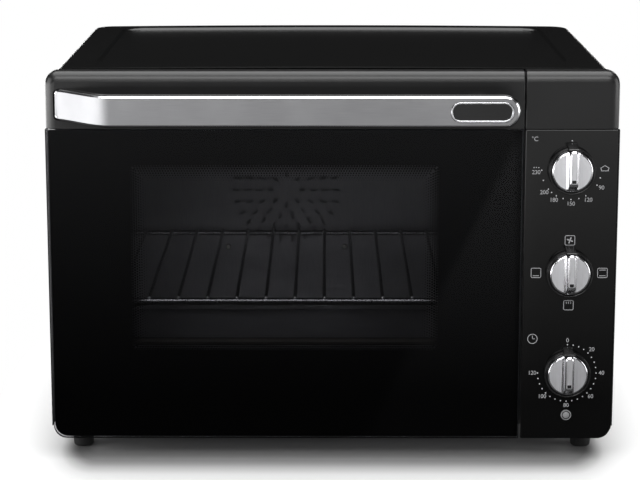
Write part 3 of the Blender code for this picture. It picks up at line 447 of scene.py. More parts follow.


# The floor's painted shadow: darkest on a patch under the oven, then tones by distance from it, ending sooner
# at the sides
SHADOW_FOOTPRINT = (0.195, 0.120, 0)  # half the length and the depth of the floor's darkest patch
SHADE_SCALE = (2.4, 1, 0)  # the shade ends sooner beside the oven than in front
SHADE_REACH = 0.2
SHADE = ((0.05, 0.34), (0.15, 0.20), (0.235, 0.17), (0.28, 0.23), (0.325, 0.34), (0.42, 0.53))
SHADOW_TONE, OUTER_TONE = 0.34, 0.86


def floor_strip(tree, x, y):
    """1 on a slanting strip of floor in front of the door's right side, where the floor glows for the door's
    glass to mirror: a painted reflection.
    """
    edges = []
    for slope, start, width in ((0.169, -0.014, 0.012), (0.0882, 0.1335, 0.006)):
        across = fed(tree, "Math", y, slope, x, operation="MULTIPLY_ADD")
        edges.append(spread(tree, across, 0, 1, start, start + width))
    return fed(tree, "Math", *edges, operation="SUBTRACT")


def floor_shade(tree, reach):
    """The floor's painted shadow: its tone by its distance from the oven."""
    ramp = tree.nodes.new("ShaderNodeValToRGB")
    stops = ramp.color_ramp.elements
    for stop, tone in zip(stops, (SHADOW_TONE, OUTER_TONE)):
        stop.color = (tone, tone, tone, 1)
    for position, tone in SHADE:
        stops.new(position).color = (tone, tone, tone, 1)
    feed(tree, ramp.inputs["Fac"], spread(tree, reach, 0, 1, 0, SHADE_REACH))
    return ramp.outputs["Color"]


def make_floor():
    """Pale floor with a painted shadow round the oven that fades to white away from it; mirror rays see it
    glow in other tones, a painted reflection.
    """
    mat, tree = new_material("pale_floor")
    shader = tree.nodes["Principled BSDF"]
    coords = fed(tree, "TexCoord", output="Object")
    x, y = (fed(tree, "SeparateXYZ", coords, output=axis) for axis in "XY")
    quarter = fed(tree, "VectorMath", coords, operation="ABSOLUTE")
    outside = fed(tree, "VectorMath", quarter, SHADOW_FOOTPRINT, operation="SUBTRACT")
    beyond = fed(tree, "VectorMath", outside, operation="MAXIMUM")
    stretched = fed(tree, "VectorMath", beyond, SHADE_SCALE, operation="MULTIPLY")
    reach = fed(tree, "VectorMath", stretched, output="Value", operation="LENGTH")
    # the base colour is a painted shadow round the oven
    feed(tree, shader.inputs["Base Color"], floor_shade(tree, reach))
    feed(tree, shader.inputs["Roughness"], 0.8)
    feed(tree, shader.inputs["Specular IOR Level"], 0.1)
    white = fed(tree, "Emission", WHITE, 1.0)
    fade = spread(tree, reach, 0, 1, 0.075, 0.26)
    seen = fed(tree, "MixShader", fade, shader.outputs["BSDF"], white)
    # What mirror rays see on the floor is a glow, brighter ahead, on the strip, at the left and behind: a
    # painted reflection
    ahead = spread(tree, y, 0.75, 0.05, -2.1, -0.35)
    mirror_glow = fed(tree, "Math", ahead, floor_strip(tree, x, y), ahead, operation="MULTIPLY_ADD")
    left = spread(tree, x, 3.5, 0.0, -1.4, -0.45)
    right = spread(tree, x, 0.0, 0.8, 0.45, 1.4)
    behind = spread(tree, y, 0.0, 1.0, -0.10, 0.35)
    for part in (left, right, behind):
        mirror_glow = fed(tree, "Math", mirror_glow, part, operation="MAXIMUM")
    # the floor glows for mirror rays only: painted reflection
    mirrored = fed(tree, "Emission", WHITE, mirror_glow)
    by_ray = fed(tree, "MixShader", fed(tree, "LightPath", output="Is Glossy Ray"), seen, mirrored)
    feed(tree, tree.nodes["Material Output"].inputs["Surface"], by_ray)
    bpy.ops.mesh.primitive_plane_add(size=30, location=(0, 0, -0.0002))
    floor = bpy.context.object
    floor.name = "floor"
    floor.data.materials.append(mat)


# ---------------- cabinet
def lines_between(low, high, spacing):
    count = max(1, round((high - low) / spacing))
    return [low + (high - low) * number / count for number in range(count + 1)]


def smoothstep(value):
    value = min(max(value, 0), 1)
    return value * value * (3 - 2 * value)


SHEET = 0.0012  # the cabinet sheet's thickness, and the height of the lid's crown


def lid_height(x, y):
    """How far the lid stands above its edge: a slight crown, less the sunk field."""
    half_x, front, back, corner = 0.1960, -0.1100, 0.1470, 0.018
    field_depth, slope_width, crown_half = 0.0020, 0.0030, 0.2185
    dx = abs(x) - (half_x - corner)
    dy = abs(y - (front + back) / 2) - ((back - front) / 2 - corner)
    outside = math.hypot(max(dx, 0), max(dy, 0)) + min(max(dx, dy), 0) - corner
    crown = SHEET * max(0.0, 1 - (x / crown_half) ** 2)
    return crown - field_depth * smoothstep(-outside / slope_width)


def outer_wrap():
    """Lid and sides in one bent sheet, with a sunk field in the lid and notches in its front toes."""
    low, high = WRAP_LOW, WRAP_HIGH
    flat_top = high.z - SHEET
    lid_edge, rear_corner = 0.008, 0.020
    bm = bmesh.new()
    cube(bm, low, (high.x, high.y, flat_top))
    open_faces = [f for f in bm.faces if f.normal.y < -0.5 or f.normal.z < -0.5]
    bmesh.ops.delete(bm, geom=open_faces, context="FACES")
    rear = [edge for edge in bm.edges if min(vert.co.y for vert in edge.verts) > 0]
    upright = [edge for edge in rear if abs(edge.verts[0].co.z - edge.verts[1].co.z) > 0.1]
    bmesh.ops.bevel(bm, geom=upright, offset=rear_corner, segments=12, profile=0.5, affect="EDGES")
    lid = max(bm.faces, key=lambda f: f.calc_center_median().z)
    rim = [e for e in lid.edges if not all(abs(v.co.y - low.y) < 1e-6 for v in e.verts)]
    bmesh.ops.bevel(bm, geom=rim, offset=lid_edge, segments=7, profile=0.5, affect="EDGES")
    across = lines_between(-0.160, 0.160, 0.020)
    for side in (-1, 1):
        across += [side * x for x in lines_between(0.172, 0.200, 0.0010)]
    lengthwise = lines_between(-0.114, -0.086, 0.0010) + lines_between(0.123, 0.151, 0.0010)
    lengthwise += lines_between(-0.080, 0.115, 0.0200)
    planes = [((x, 0, 0), (1, 0, 0)) for x in across] + [((0, y, 0), (0, 1, 0)) for y in lengthwise]
    for point, normal in planes:
        top = [f for f in bm.faces if f.normal.z > 0.99]
        geometry = top + [e for f in top for e in f.edges] + [v for f in top for v in f.verts]
        bmesh.ops.bisect_plane(bm, geom=list(dict.fromkeys(geometry)), plane_co=point, plane_no=normal)
    for vert in bm.verts:
        if vert.co.z > flat_top - 1e-5:
            vert.co.z += lid_height(vert.co.x, vert.co.y)
    wrap = from_bmesh("cabinet_wrap", bm, [BLACK_PAINT])
    wall = wrap.modifiers.new("wall", "SOLIDIFY")
    wall.thickness = SHEET
    wall.offset = -1
    wrap = applied(wrap)
    window = rounded((-0.200, 0.000), (0.200, 0.3084), 0.004)
    wrap = boolean(wrap, slab("rear_window_tool", [window], "Y", 0.1500, 0.1900, [BLACK_PAINT]))
    tools = []
    vent_height, vent_length, vents_low, vents_rise, rows = 0.0035, 0.040, 0.200, 0.080, 9
    for front in (-0.100, -0.050):
        for row in range(rows):
            bottom = vents_low + row * (vents_rise - vent_height) / (rows - 1)
            outline = rounded((front, bottom), (front + vent_length, bottom + vent_height), 0.0017, 4)
            tools.append(slab("vent_tool", [outline], "X", 0.2200, 0.2320, [BLACK_PAINT]))
    for x in (low.x, high.x):
        toe = Vector((x, low.y, low.z))
        toe_low, toe_high = toe - Vector((0.006, 0.006, 0.006)), toe + Vector((0.006, 0.0107, 0.0076))
        tools.append(block("toe_tool", toe_low, toe_high, [BLACK_PAINT]))
    wrap = boolean(wrap, joined("wrap_tools", tools))
    place(wrap, "cabinet", "black_sheet", "outer_wrap")


def moulded_cap(name, low, high, end, mats):
    """A hollow moulding along the front's top edge, rounded over its top and its outer end."""
    outer_end = -1 if end == "left" else 1
    radius, steps = 0.0085, 9
    rings = []
    for step in range(steps + 1):
        turn = math.pi / 2 * step / steps
        rings.append((radius * (1 - math.sin(turn)), low.y + radius * (1 - math.cos(turn))))
    rings += [(0.0, high.y - 0.0010), (0.0006, high.y)]
    made = []
    for inset, y in rings:
        joint = 0.0004 if y < low.y + 0.0003 else 0.0
        corner = max(CORNER - inset, 0.001)
        left = low.x + (inset if outer_end < 0 else joint)
        right = high.x - (inset if outer_end > 0 else joint)
        near, far = (SMALL, corner) if outer_end > 0 else (corner, SMALL)
        outline = rounded((left, low.z + joint), (right, high.z - inset), (0.0006, 0.0006, far, near), 8)
        made.append([(u, y, v) for u, v in outline])
    cap = loft(name, made, mats)
    wall = 0.0035
    inner = rounded((low.x + wall, low.z - 0.010), (high.x - wall, high.z - wall), 0.006)
    hollow = slab(name + "_tool", [inner], "Y", low.y + wall, high.y + 0.010, mats)
    return boolean(cap, hollow)


def control_column():
    """Panel, cap and lens at the right of the door."""
    cap = moulded_cap("control_cap_moulding", CAP_LOW, CAP_HIGH, "right", [DARK_PLASTIC])
    place(cap, "cabinet", "dark_plastic", "control_cap")
    corners = (SMALL, CORNER, SMALL, SMALL)
    outline = rounded((PANEL_LOW.x, PANEL_LOW.z), (PANEL_HIGH.x, PANEL_HIGH.z), corners, 10)
    holes = [circle((COLUMN_X, z), 0.0045) for z in KNOB_Z.values()]
    pilot_z = (LENS_LOW.z + LENS_HIGH.z) / 2
    holes.append(circle((COLUMN_X, pilot_z), 0.0039))
    panel = slab("panel", [outline, *holes], "Y", PANEL_LOW.y, PANEL_HIGH.y, [PANEL_BLACK], 0.0005)
    place(panel, "cabinet", "black_glass", "control_panel")
    profile = [
        (0, 2.3), (0.8, 2.28), (1.6, 2.1), (2.3, 1.7), (2.9, 1.05), (3.1, 0.75), (3.35, 0.75), (3.5, 1.5),
        (3.75, 1.75), (4.05, 1.7), (4.35, 1.3), (4.4, 0.9), (4.4, 0.3), (3.5, 0.3), (3.5, -8), (0, -8),
    ]
    centre = (COLUMN_X, FACE, pilot_z)
    ring = (4, 5, 6)
    lens = turned("pilot_lens_dome", mm(profile), centre, FORWARD, [LENS, BLACK_PLASTIC], other_rows=ring)
    place(lens, "cabinet", "pilot_lens", "pilot_lens")


# ---------------- scales
def on_dial(name, angle, radius):
    """A place on the panel at an angle, clockwise from the top, round a knob."""
    turn = math.radians(angle)
    return COLUMN_X + radius * math.sin(turn), KNOB_Z[name] + radius * math.cos(turn)


def number_ring(angle):
    """How far from the knob's axis a number's middle lies: farther at the sides, for its width."""
    return 0.0277 + 0.0010 * abs(math.sin(math.radians(angle)))


INK_BACK, INK_FRONT = FACE - 0.00002, FACE - 0.00012
DOT_RING, ICON_RING = 0.0242, 0.0272  # how far from the knob's axis they are printed
LINE = 0.0005  # width of the printed lines


def ink(name, outlines, mat=DIM_INK):
    return slab(name, outlines, "Y", INK_FRONT, INK_BACK, [mat])


def number(text, x, z, height=0.0035):
    """A printed number, centred on a place."""
    data = bpy.data.curves.new("number", "FONT")
    data.body = text
    data.size = height * 1.40
    data.align_x = "CENTER"
    data.align_y = "CENTER"
    data.extrude = (INK_BACK - INK_FRONT) / 2
    data.space_character = 0.94
    data.resolution_u = 3
    piece = as_object(f"number_{text}", data, [DIM_INK])
    piece.matrix_world = Matrix.Translation((x, (INK_BACK + INK_FRONT) / 2, z)) @ TOWARDS["Y"]
    return applied(piece)


def dots(name, angles, radius=DOT_RING, size=0.00055):
    return [ink("dot", [circle(on_dial(name, angle, radius), size, 14)], INK) for angle in angles]


def frame_icon(x, z):
    """A rounded square, drawn as a line: the sign for the oven's cavity."""
    half = 0.0042
    inside = half - LINE
    outer = rounded((x - half, z - half), (x + half, z + half), 0.0013, 4)
    inner = rounded((x - inside, z - inside), (x + inside, z + inside), 0.0008, 4)
    return ink("icon_frame", [outer, inner])


def bar(x0, z0, x1, z1):
    """A straight printed line."""
    start, end = Vector((x0, z0)), Vector((x1, z1))
    along = (end - start).normalized() * LINE / 2
    side = Vector((-along.y, along.x))
    return ink("bar", [[start - along - side, end + along - side, end + along + side, start - along + side]])


def fan_icon(x, z):
    """Four rounded blades round a hub."""
    made = [ink("hub", [circle((x, z), 0.0006, 12)])]
    for blade in range(4):
        turn = math.radians(90 * blade + 20)
        outward = Vector((math.sin(turn), math.cos(turn)))
        sideways = Vector((math.cos(turn), -math.sin(turn)))
        middle = Vector((x, z)) + 0.0016 * outward
        oval = circle((0, 0), 1, 12)
        made.append(ink("blade", [[middle + 0.0012 * u * outward + 0.0006 * v * sideways for u, v in oval]]))
    return made


def heat_bar(x, z, side):
    """The line at an icon's top or bottom that stands for a heater."""
    return bar(x - 0.0024, z + side * 0.0024, x + 0.0024, z + side * 0.0024)


def grill_marks(x, z):
    return [bar(x + step, z - 0.0007, x + step, z + 0.0007) for step in (-0.0018, 0, 0.0018)]


def thermostat_scale():
    name = "thermostat"
    made = dots(name, (0, 104.9, 120.4, 150.2, 164.7, 180, 195.5, 209.5, 220.8, 230, 249.7, 270))
    labels = {120.4: "90", 150.2: "120", 180: "150", 209.5: "180", 230: "200", 266.5: "230"}
    for angle, text in labels.items():
        made.append(number(text, *on_dial(name, angle, number_ring(angle))))
    x, z = on_dial(name, 274.5, number_ring(270))
    made += [ink("grill_mark", [circle((x + step * MM, z), 0.0005, 10)]) for step in (-1.9, 0, 1.9)]
    x, z = on_dial(name, 86.5, 0.0270)
    house = [(-2.9, -2.4), (2.9, -2.4), (3.6, 0.3), (0, 2.5), (-3.6, 0.3)]
    outer = [(x + u * MM, z + v * MM) for u, v in house]
    inner = [(x + 0.80 * u * MM, z + (0.78 * v - 0.02) * MM) for u, v in house]
    made.append(ink("keep_warm", [outer, inner]))
    made.append(number("°C", COLUMN_X - 0.0302, KNOB_Z[name] + 0.0255, 0.0038))
    return joined("thermostat_scale", made)


def selector_scale():
    name = "selector"
    made = []
    x, z = on_dial(name, 0, ICON_RING)
    made += [frame_icon(x, z), *fan_icon(x, z)]
    x, z = on_dial(name, 90, ICON_RING)
    made += [frame_icon(x, z), heat_bar(x, z, 1), heat_bar(x, z, -1)]
    x, z = on_dial(name, 180, ICON_RING)
    made += [frame_icon(x, z), *grill_marks(x, z + 0.0022)]
    x, z = on_dial(name, 270, ICON_RING)
    made += [frame_icon(x, z), heat_bar(x, z, -1)]
    return joined("selector_scale", made)


def timer_scale():
    name = "timer"
    made = dots(name, [11.25 * step for step in range(25)])
    for step in range(7):
        text = str(20 * step)
        made.append(number(text, *on_dial(name, 45 * step, number_ring(45 * step))))
    x, z = COLUMN_X - 0.0290, KNOB_Z[name] + 0.0291
    made.append(ink("clock_ring", [circle((x, z), 0.0042), circle((x, z), 0.0037)]))
    made += [bar(x, z, x, z + 0.0024), bar(x, z, x + 0.0018, z)]
    return joined("timer_scale", made)


def scales():
    for piece in (thermostat_scale(), selector_scale(), timer_scale()):
        place(piece, "cabinet", "black_glass")


# ---------------- knobs
def knob(name):
    centre = Vector((COLUMN_X, FACE, KNOB_Z[name]))
    body = f"{name}_knob"
    profile = [
        (0, 6.0), (16.9, 6.0), (17.3, 6.2), (17.6, 6.9), (18.0, 7.3), (18.5, 7.45), (18.9, 7.35),
        (19.2, 7.0), (19.3, 6.4), (19.3, 1.4), (19.1, 0.5), (0, 0.5),
    ]
    disc = turned(f"{name}_knob_base", mm(profile), centre, FORWARD, [BLACK_PLASTIC], 96)
    fin = pointer(name, centre)
    place(joined(f"{name}_knob_core", [disc, fin]), body, "black_plastic", f"{name}_knob_body")
    profile = [(0, 9), (14.9, 9), (15.1, 9), (15.4, 8.93), (16.2, 8.55), (16.4, 8.2), (16.4, 6.3), (0, 6.3)]
    rim = (2, 3, 4, 5)
    face = turned(f"{name}_disc", mm(profile), centre, FORWARD, [BRUSHED_UP, POLISHED], 96, rim)
    metal = joined(f"{name}_knob_metal", [face, finger_bar(name, centre)])
    place(metal, body, "brushed_metal", f"{name}_knob_face")


def pointer(name, centre):
    """Fin above the finger bar that runs down to the panel and points at the scale."""
    side = [(5, 18.2), (5, 19.2), (16.5, 19.2), (16.2, 19.9), (3.4, 22.6), (1.6, 22.7), (1, 22.3), (1, 18.2)]
    half = 0.0040
    bm = bmesh.new()
    loops = []
    for x, shrink in ((-half, 0.0005), (-half + 0.0005, 0), (half - 0.0005, 0), (half, 0.0005)):
        loop = []
        for reach, height in side:
            rise = min(height, 22.7 - shrink / MM)
            depth = max(min(reach, 16.5 - shrink / MM), 1.0)
            loop.append(bm.verts.new((centre.x + x, centre.y - depth * MM, centre.z + rise * MM)))
        loops.append(loop)
    for first, second in zip(loops, loops[1:]):
        for number_ in range(len(side)):
            following = (number_ + 1) % len(side)
            bm.faces.new((first[number_], first[following], second[following], second[number_]))
    bm.faces.new(loops[0][::-1])
    bm.faces.new(loops[-1])
    return from_bmesh(f"{name}_fin", bm, [BLACK_PLASTIC], 25)


def finger_bar(name, centre):
    """Raised bar with polished bevels and a dark slot near its lower end."""
    half, bevel = 0.0036, 0.0012
    top, foot, heel = 0.0188, -0.0092, -0.0148
    rings = []
    flare = 0.0015
    plan = [
        (0.0080, -flare, -0.0003, heel - 0.0006),
        (0.0091, -flare, -0.0003, heel - 0.0006),
        (0.0104, 0.0, 0.0, heel),
        (0.0196, 0.0, 0.0002, foot - 0.0010),
        (0.0203, 0.0004, 0.0008, foot - 0.0002),
        (0.0210, bevel, 0.0014, foot + 0.0012),
    ]
    for depth, inset, drop, low in plan:
        width = half - inset
        radius = max(width - 0.0003, 0.001)
        corners = (0.0012, 0.0012, radius, radius)
        lower, upper = (centre.x - width, centre.z + low), (centre.x + width, centre.z + top - drop)
        outline = rounded(lower, upper, corners, 8)
        rings.append([(u, centre.y - depth, v) for u, v in outline])
    piece = loft(f"{name}_bar", rings, [POLISHED, BRUSHED_UP], 20)
    mark_faces(piece, (0, -1, 0), 1)
    slot_low = centre + Vector((-0.0017, -0.0215, foot + 0.0017))
    slot_high = centre + Vector((0.0017, -0.0200, foot + 0.0044))
    piece = boolean(piece, block("slot_tool", slot_low, slot_high, [POLISHED], 0.0003))
    filler_low = slot_low + Vector((0.0001, 0.0010, 0.0001))
    filler_high = slot_high + Vector((-0.0001, 0.0003, -0.0001))
    filler = block("slot_filler", filler_low, filler_high, [BLACK_PLASTIC], 0.0001)
    return joined(f"{name}_finger", [piece, filler])


# ---------------- door
PRINT_DEPTH = 0.00012


def door_pane():
    """Dark glass with polished edges; black enamel is printed on its back round the window."""
    corners = (CORNER, SMALL, SMALL, SMALL)
    outline = rounded((PANE_LOW.x, PANE_LOW.z), (PANE_HIGH.x, PANE_HIGH.z), corners, 10)
    pane = slab("door_pane", [outline], "Y", PANE_LOW.y, PANE_HIGH.y, [GLASS], 0.0004)
    place(pane, "door", "black_glass", "door_glass")
    inset = 0.0007
    low, high = (PANE_LOW.x + inset, PANE_LOW.z + inset), (PANE_HIGH.x - inset, PANE_HIGH.z - inset)
    border = rounded(low, high, corners, 10)
    opening = rounded(WINDOW_LOW, WINDOW_HIGH, 0.004, 6)
    back = PANE_HIGH.y + 0.00005
    enamel = slab("door_enamel", [border, opening], "Y", back, back + PRINT_DEPTH, [PRINT_BLACK])
    place(enamel, "door", "black_glass")
    place(frit_dots(back), "door", "black_glass")


def frit_dots(back):
    """Rows of printed dots that shrink towards the window's clear middle."""
    points, faces = [], []
    pitch, rows, sides = 0.0022, 7, 8
    for row in range(rows):
        inset = 0.0009 + 0.0019 * row
        radius = 0.00108 - 0.00014 * row
        x0, z0 = (value + inset for value in WINDOW_LOW)
        x1, z1 = (value - inset for value in WINDOW_HIGH)
        across, upwards = round((x1 - x0) / pitch), round((z1 - z0) / pitch)
        shift = 0.5 if row % 2 else 0.0
        spots = []
        for step in range(across):
            x = x0 + (step + shift) * (x1 - x0) / across
            spots += [(x, z0), (x, z1)]
        for step in range(upwards):
            z = z0 + (step + shift) * (z1 - z0) / upwards
            spots += [(x0, z), (x1, z)]
        for spot in spots:
            start = len(points)
            ring = circle(spot, radius, sides)
            points += [(u, y, v) for y in (back, back + PRINT_DEPTH) for u, v in ring]
            faces.append(tuple(range(start, start + sides)))
            faces.append(tuple(range(start + 2 * sides - 1, start + sides - 1, -1)))
            for side in range(sides):
                this, following = start + side, start + (side + 1) % sides
                faces.append((following, this, this + sides, following + sides))
    mesh = bpy.data.meshes.new("frit_dots")
    mesh.from_pydata(points, [], faces)
    return as_object("frit_dots", mesh, [PRINT_BLACK])


def door_rail():
    rail = moulded_cap("door_rail_moulding", RAIL_LOW, RAIL_HIGH, "left", [DARK_PLASTIC])
    place(rail, "door", "dark_plastic", "door_top_rail")


HANDLE_Z = (GRIP_LOW.z + GRIP_HIGH.z) / 2
HANDLE_HALF = (GRIP_HIGH.z - GRIP_LOW.z) / 2
SWEEP_END = -0.1760  # where the handle's left end has swept out to its full reach
DOOR_GAP = 0.0003
HANDLE_REACH = FACE - GRIP_LOW.y


def handle_point(x):
    """Plan point of the handle's face at x: off the door at the left, then straight."""
    share = min(max((x - GRIP_LOW.x) / (SWEEP_END - GRIP_LOW.x), 0), 1)
    reach = (HANDLE_REACH - DOOR_GAP) * math.sin(math.pi / 2 * share**1.3)
    return Vector((x, FACE - DOOR_GAP - reach))


def handle_stations(inset, left_radius, right_end):
    """(x, half height) along the handle's outline moved in by inset, the same count for any inset."""
    start, half = GRIP_LOW.x + left_radius, HANDLE_HALF
    stations = []
    for step in range(6):
        turn = math.pi / 2 * step / 5
        radius = left_radius - inset
        stations.append((start - radius * math.cos(turn), half - left_radius + radius * math.sin(turn)))
    for step in range(1, 30):
        stations.append((start + (SWEEP_END + 0.004 - start) * step / 29, half - inset))
    centre = right_end - half
    for step in range(25):
        turn = math.pi / 2 * (1 - step / 24)
        radius = half - inset
        stations.append((centre + radius * math.cos(turn), radius * math.sin(turn)))
    return stations


def handle_strip(name, rings, right_end, mats):
    """A solid along the handle's face: rings are (inset, depth) from its back to its front."""
    bm = bmesh.new()
    made = []
    for inset, depth in rings:
        row = []
        for x, half in handle_stations(inset, 0.003, right_end):
            here = handle_point(x)
            along = handle_point(x + 0.0002) - handle_point(x - 0.0002)
            inward = Vector((-along.y, along.x)).normalized()
            spot = here + inward * depth
            y = min(spot.y, FACE - DOOR_GAP)
            row.append([bm.verts.new((spot.x, y, z)) for z in (HANDLE_Z + half, HANDLE_Z - half)])
        made.append(row)
    for first, second in zip(made, made[1:]):
        for side in (0, 1):
            for a, b, c, d in zip(first, first[1:], second[1:], second):
                bm.faces.new((a[side], b[side], c[side], d[side]))
        bm.faces.new((first[0][0], first[0][1], second[0][1], second[0][0]))
    for row in (made[0], made[-1]):
        for a, b in zip(row, row[1:]):
            bm.faces.new((a[0], b[0], b[1], a[1]))
    bmesh.ops.remove_doubles(bm, verts=bm.verts, dist=1e-6)
    bmesh.ops.dissolve_degenerate(bm, edges=bm.edges, dist=1e-7)
    return from_bmesh(name, bm, mats, 25)


def handle():
    right = GRIP_HIGH.x
    thickness, bevel = 0.0015, 0.0012
    plate_rings = [(0, thickness), (0, bevel), (bevel, 0)]
    plate = handle_strip("handle_facing", plate_rings, right, [POLISHED, BRUSHED])
    for face in plate.data.polygons:
        centre = face.center
        inside = abs(centre.z - HANDLE_Z) < HANDLE_HALF - bevel * 1.05
        if inside and face.normal.y < -0.2 and abs(face.normal.z) < 0.02 and face.area > 1e-6:
            face.material_index = 1
    recess = badge_outline(-0.0003, 0.0083, 10)
    tool = slab("badge_tool", [recess], "Y", GRIP_LOW.y - 0.005, GRIP_LOW.y + 0.004, [POLISHED])
    plate = boolean(plate, tool)
    place(plate, "door", "brushed_metal", "handle_plate")
    back = thickness + 0.0065
    core_rings = [(0, back), (-0.0008, back - 0.0004), (-0.0012, back - 0.0012)]
    core_rings += [(-0.0012, thickness + 0.0012), (-0.0009, thickness + 0.0006), (-0.0004, thickness + 0.0003)]
    core = handle_strip("handle_core_strip", core_rings, right, [BLACK_PLASTIC])
    outline = rounded((0.1060, HANDLE_Z - 0.008), (0.1300, HANDLE_Z + 0.008), 0.0078, 8)
    post = slab("handle_post", [outline], "Y", GRIP_LOW.y + 0.005, FACE - DOOR_GAP, [BLACK_PLASTIC], 0.0005)
    core = boolean(core, post, "UNION")
    place(core, "door", "black_plastic", "handle_body")
    badge()


def badge_outline(inset, radius, steps=12):
    low, high = (BADGE_LOW.x + inset, BADGE_LOW.z + inset), (BADGE_HIGH.x - inset, BADGE_HIGH.z - inset)
    return rounded(low, high, radius, steps)


def badge():
    """Blank badge: a polished rim round a black field."""
    rim_width = 0.0015
    radius = (BADGE_HIGH.z - BADGE_LOW.z) / 2 - 0.0001
    front, back = GRIP_LOW.y + 0.0001, BADGE_HIGH.y
    outer, inner = badge_outline(0, radius), badge_outline(rim_width, radius - rim_width)
    rim = slab("badge_rim", [outer, inner], "Y", front, back, [POLISHED], 0.0004)
    field = slab("badge_field", [inner], "Y", front + 0.0005, back, [BLACK_PLASTIC])
    place(joined("badge", [rim, field]), "door", "black_plastic", "badge_plate")


# ---------------- inside
def wire_rack():
    """Bent frame with rods laid across it; the rods' ends are rounded."""
    wire, rod = 0.0022, 0.0015
    low = (RACK_LOW.x + wire, RACK_LOW.y + wire)
    high = (RACK_HIGH.x - wire, RACK_HIGH.y - wire)
    level = RACK_LOW.z + wire
    line = [(x, y, level) for x, y in rounded(low, high, 0.012, 8)]
    # the frame wire is the darkened chrome: painted shade
    frame_wire = tube("rack_frame", [line], wire, [SHADED_CHROME], closed=True, sides=6)
    pitch, count, gap = 0.02433, 12, 0.0004
    middle = (low[0] + high[0]) / 2
    rods = [frame_wire]
    height = level + wire + gap
    for step in range(count):
        x = middle + (step - (count - 1) / 2) * pitch
        rods.append(rounded_rod((x, RACK_LOW.y + gap, height), (x, RACK_HIGH.y - gap, height), rod))
    place(joined("wire_rack", rods), "rack", "chrome_wire", "rack")


def rounded_rod(start, end, radius):
    """A rod along a line with rounded ends: its body gets the darkened chrome, a painted shade, and its ends
    the bright chrome, a painted highlight.
    """
    along = Vector(end) - Vector(start)
    turns = [math.pi / 2 * step / 4 for step in range(5)]
    profile = [(radius * math.sin(turn), along.length - radius + radius * math.cos(turn)) for turn in turns]
    profile += [(radius * math.cos(turn), radius - radius * math.sin(turn)) for turn in turns]
    # the rod's end rows get the bright chrome: a painted highlight
    ends = (0, 1, 2, 3, 5, 6, 7, 8)
    return turned("rod", profile, start, along, [SHADED_CHROME, CHROME], 14, ends)


def heaters():
    """Two U-shaped heaters with a zinc terminal at each end."""
    for level in ("top", "bottom"):
        node = f"{level}_heater"
        low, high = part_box(node)
        radius = (high.z - low.z) / 2
        z = low.z + radius
        front, rear, far, end = low.y + radius, high.y - radius, low.x + radius, high.x
        bend = 0.025
        turns = [math.pi / 2 * step / 12 for step in range(13)]
        line = [(end, front, z)]
        line += [(far + bend - bend * math.sin(t), front + bend - bend * math.cos(t), z) for t in turns]
        line += [(far + bend - bend * math.cos(t), rear - bend + bend * math.sin(t), z) for t in turns]
        line.append((end, rear, z))
        sheath = tube(f"{level}_sheath", [line], radius, [SHEATH], sides=6)
        place(sheath, "cabinet", "heater_sheath", node)
        for side, y in (("front", front), ("rear", rear)):
            profile = [(0, 8), (1.3, 8), (1.3, 2.4), (2.6, 2.0), (2.6, 0.3), (0, 0.3)]
            pin = turned(f"{level}_{side}_terminal", mm(profile), (end, y, z), (1, 0, 0), [ZINC], 20)
            place(pin, "cabinet", "zinc_steel")


def fan_grille():
    """Pressed grille: rings of slots round a plain middle, with a screw in each corner."""
    x = (GRILLE_LOW.x + GRILLE_HIGH.x) / 2
    z = (GRILLE_LOW.z + GRILLE_HIGH.z) / 2
    outline = rounded((GRILLE_LOW.x, GRILLE_LOW.z), (GRILLE_HIGH.x, GRILLE_HIGH.z), 0.006)
    holes = []
    rings = ((0.015, 8, 0.006), (0.026, 14, 0.007), (0.037, 20, 0.007), (0.048, 26, 0.007))
    for ring, count, length in rings:
        for step in range(count):
            holes.append(radial_slot(x, z, ring, length, 0.0016, 2 * math.pi * step / count))
    grille = slab("air_grille", [outline, *holes], "Y", GRILLE_LOW.y, GRILLE_HIGH.y, [ALUMINISED])
    place(grille, "cabinet", "aluminised_steel", "fan_grille")
    reach = (GRILLE_HIGH.x - GRILLE_LOW.x) / 2 - 0.006
    spots = [(x + u * reach, GRILLE_LOW.y, z + v * reach) for u, v in FOUR_CORNERS]
    screws("grille_screw", spots, FORWARD, 0.0028)


def radial_slot(x, z, ring, length, half_width, turn):
    """Outline of a slot with round ends, pointing away from the middle."""
    outward, sideways = Vector((math.cos(turn), math.sin(turn))), Vector((-math.sin(turn), math.cos(turn)))
    points = []
    for end, start in ((1, -90), (-1, 90)):
        for step in range(5):
            angle = math.radians(start + 180 * step / 4)
            along = ring + end * (length / 2 - half_width) + half_width * math.cos(angle)
            points.append(Vector((x, z)) + along * outward + half_width * math.sin(angle) * sideways)
    return points


# ---------------- screws, feet and small metal
FOUR_CORNERS = ((-1, -1), (1, -1), (1, 1), (-1, 1))


def screws(name, spots, towards, radius):
    """Numbered screws in the cabinet."""
    for index, spot in enumerate(spots):
        screw(f"{name}_{index}", spot, towards, radius, "cabinet")


def screw(name, spot, towards, radius, body):
    """Pan-head screw with a cross recess."""
    height = radius * 0.62
    profile = [(0, height)]
    for step in range(6):
        turn = math.pi / 2 * (step + 1) / 6
        profile.append((radius * math.sin(turn) ** 0.8, height * (0.35 + 0.65 * math.cos(turn))))
    profile += [(radius, 0.00005), (0, 0.00005)]
    head = turned(name, profile, (0, 0, 0), (0, 0, 1), [ZINC], 24)
    arm, blade = radius * 0.62, radius * 0.13
    for u, v in ((arm, blade), (blade, arm)):
        tool = block("cross_tool", (-u, -v, height * 0.45), (u, v, height * 1.5), [ZINC], blade * 0.3)
        head = boolean(head, tool)
    turn = Vector(towards).to_track_quat("Z", "Y").to_matrix().to_4x4()
    head.data.transform(Matrix.Translation(spot) @ turn)
    place(head, body, "zinc_steel")


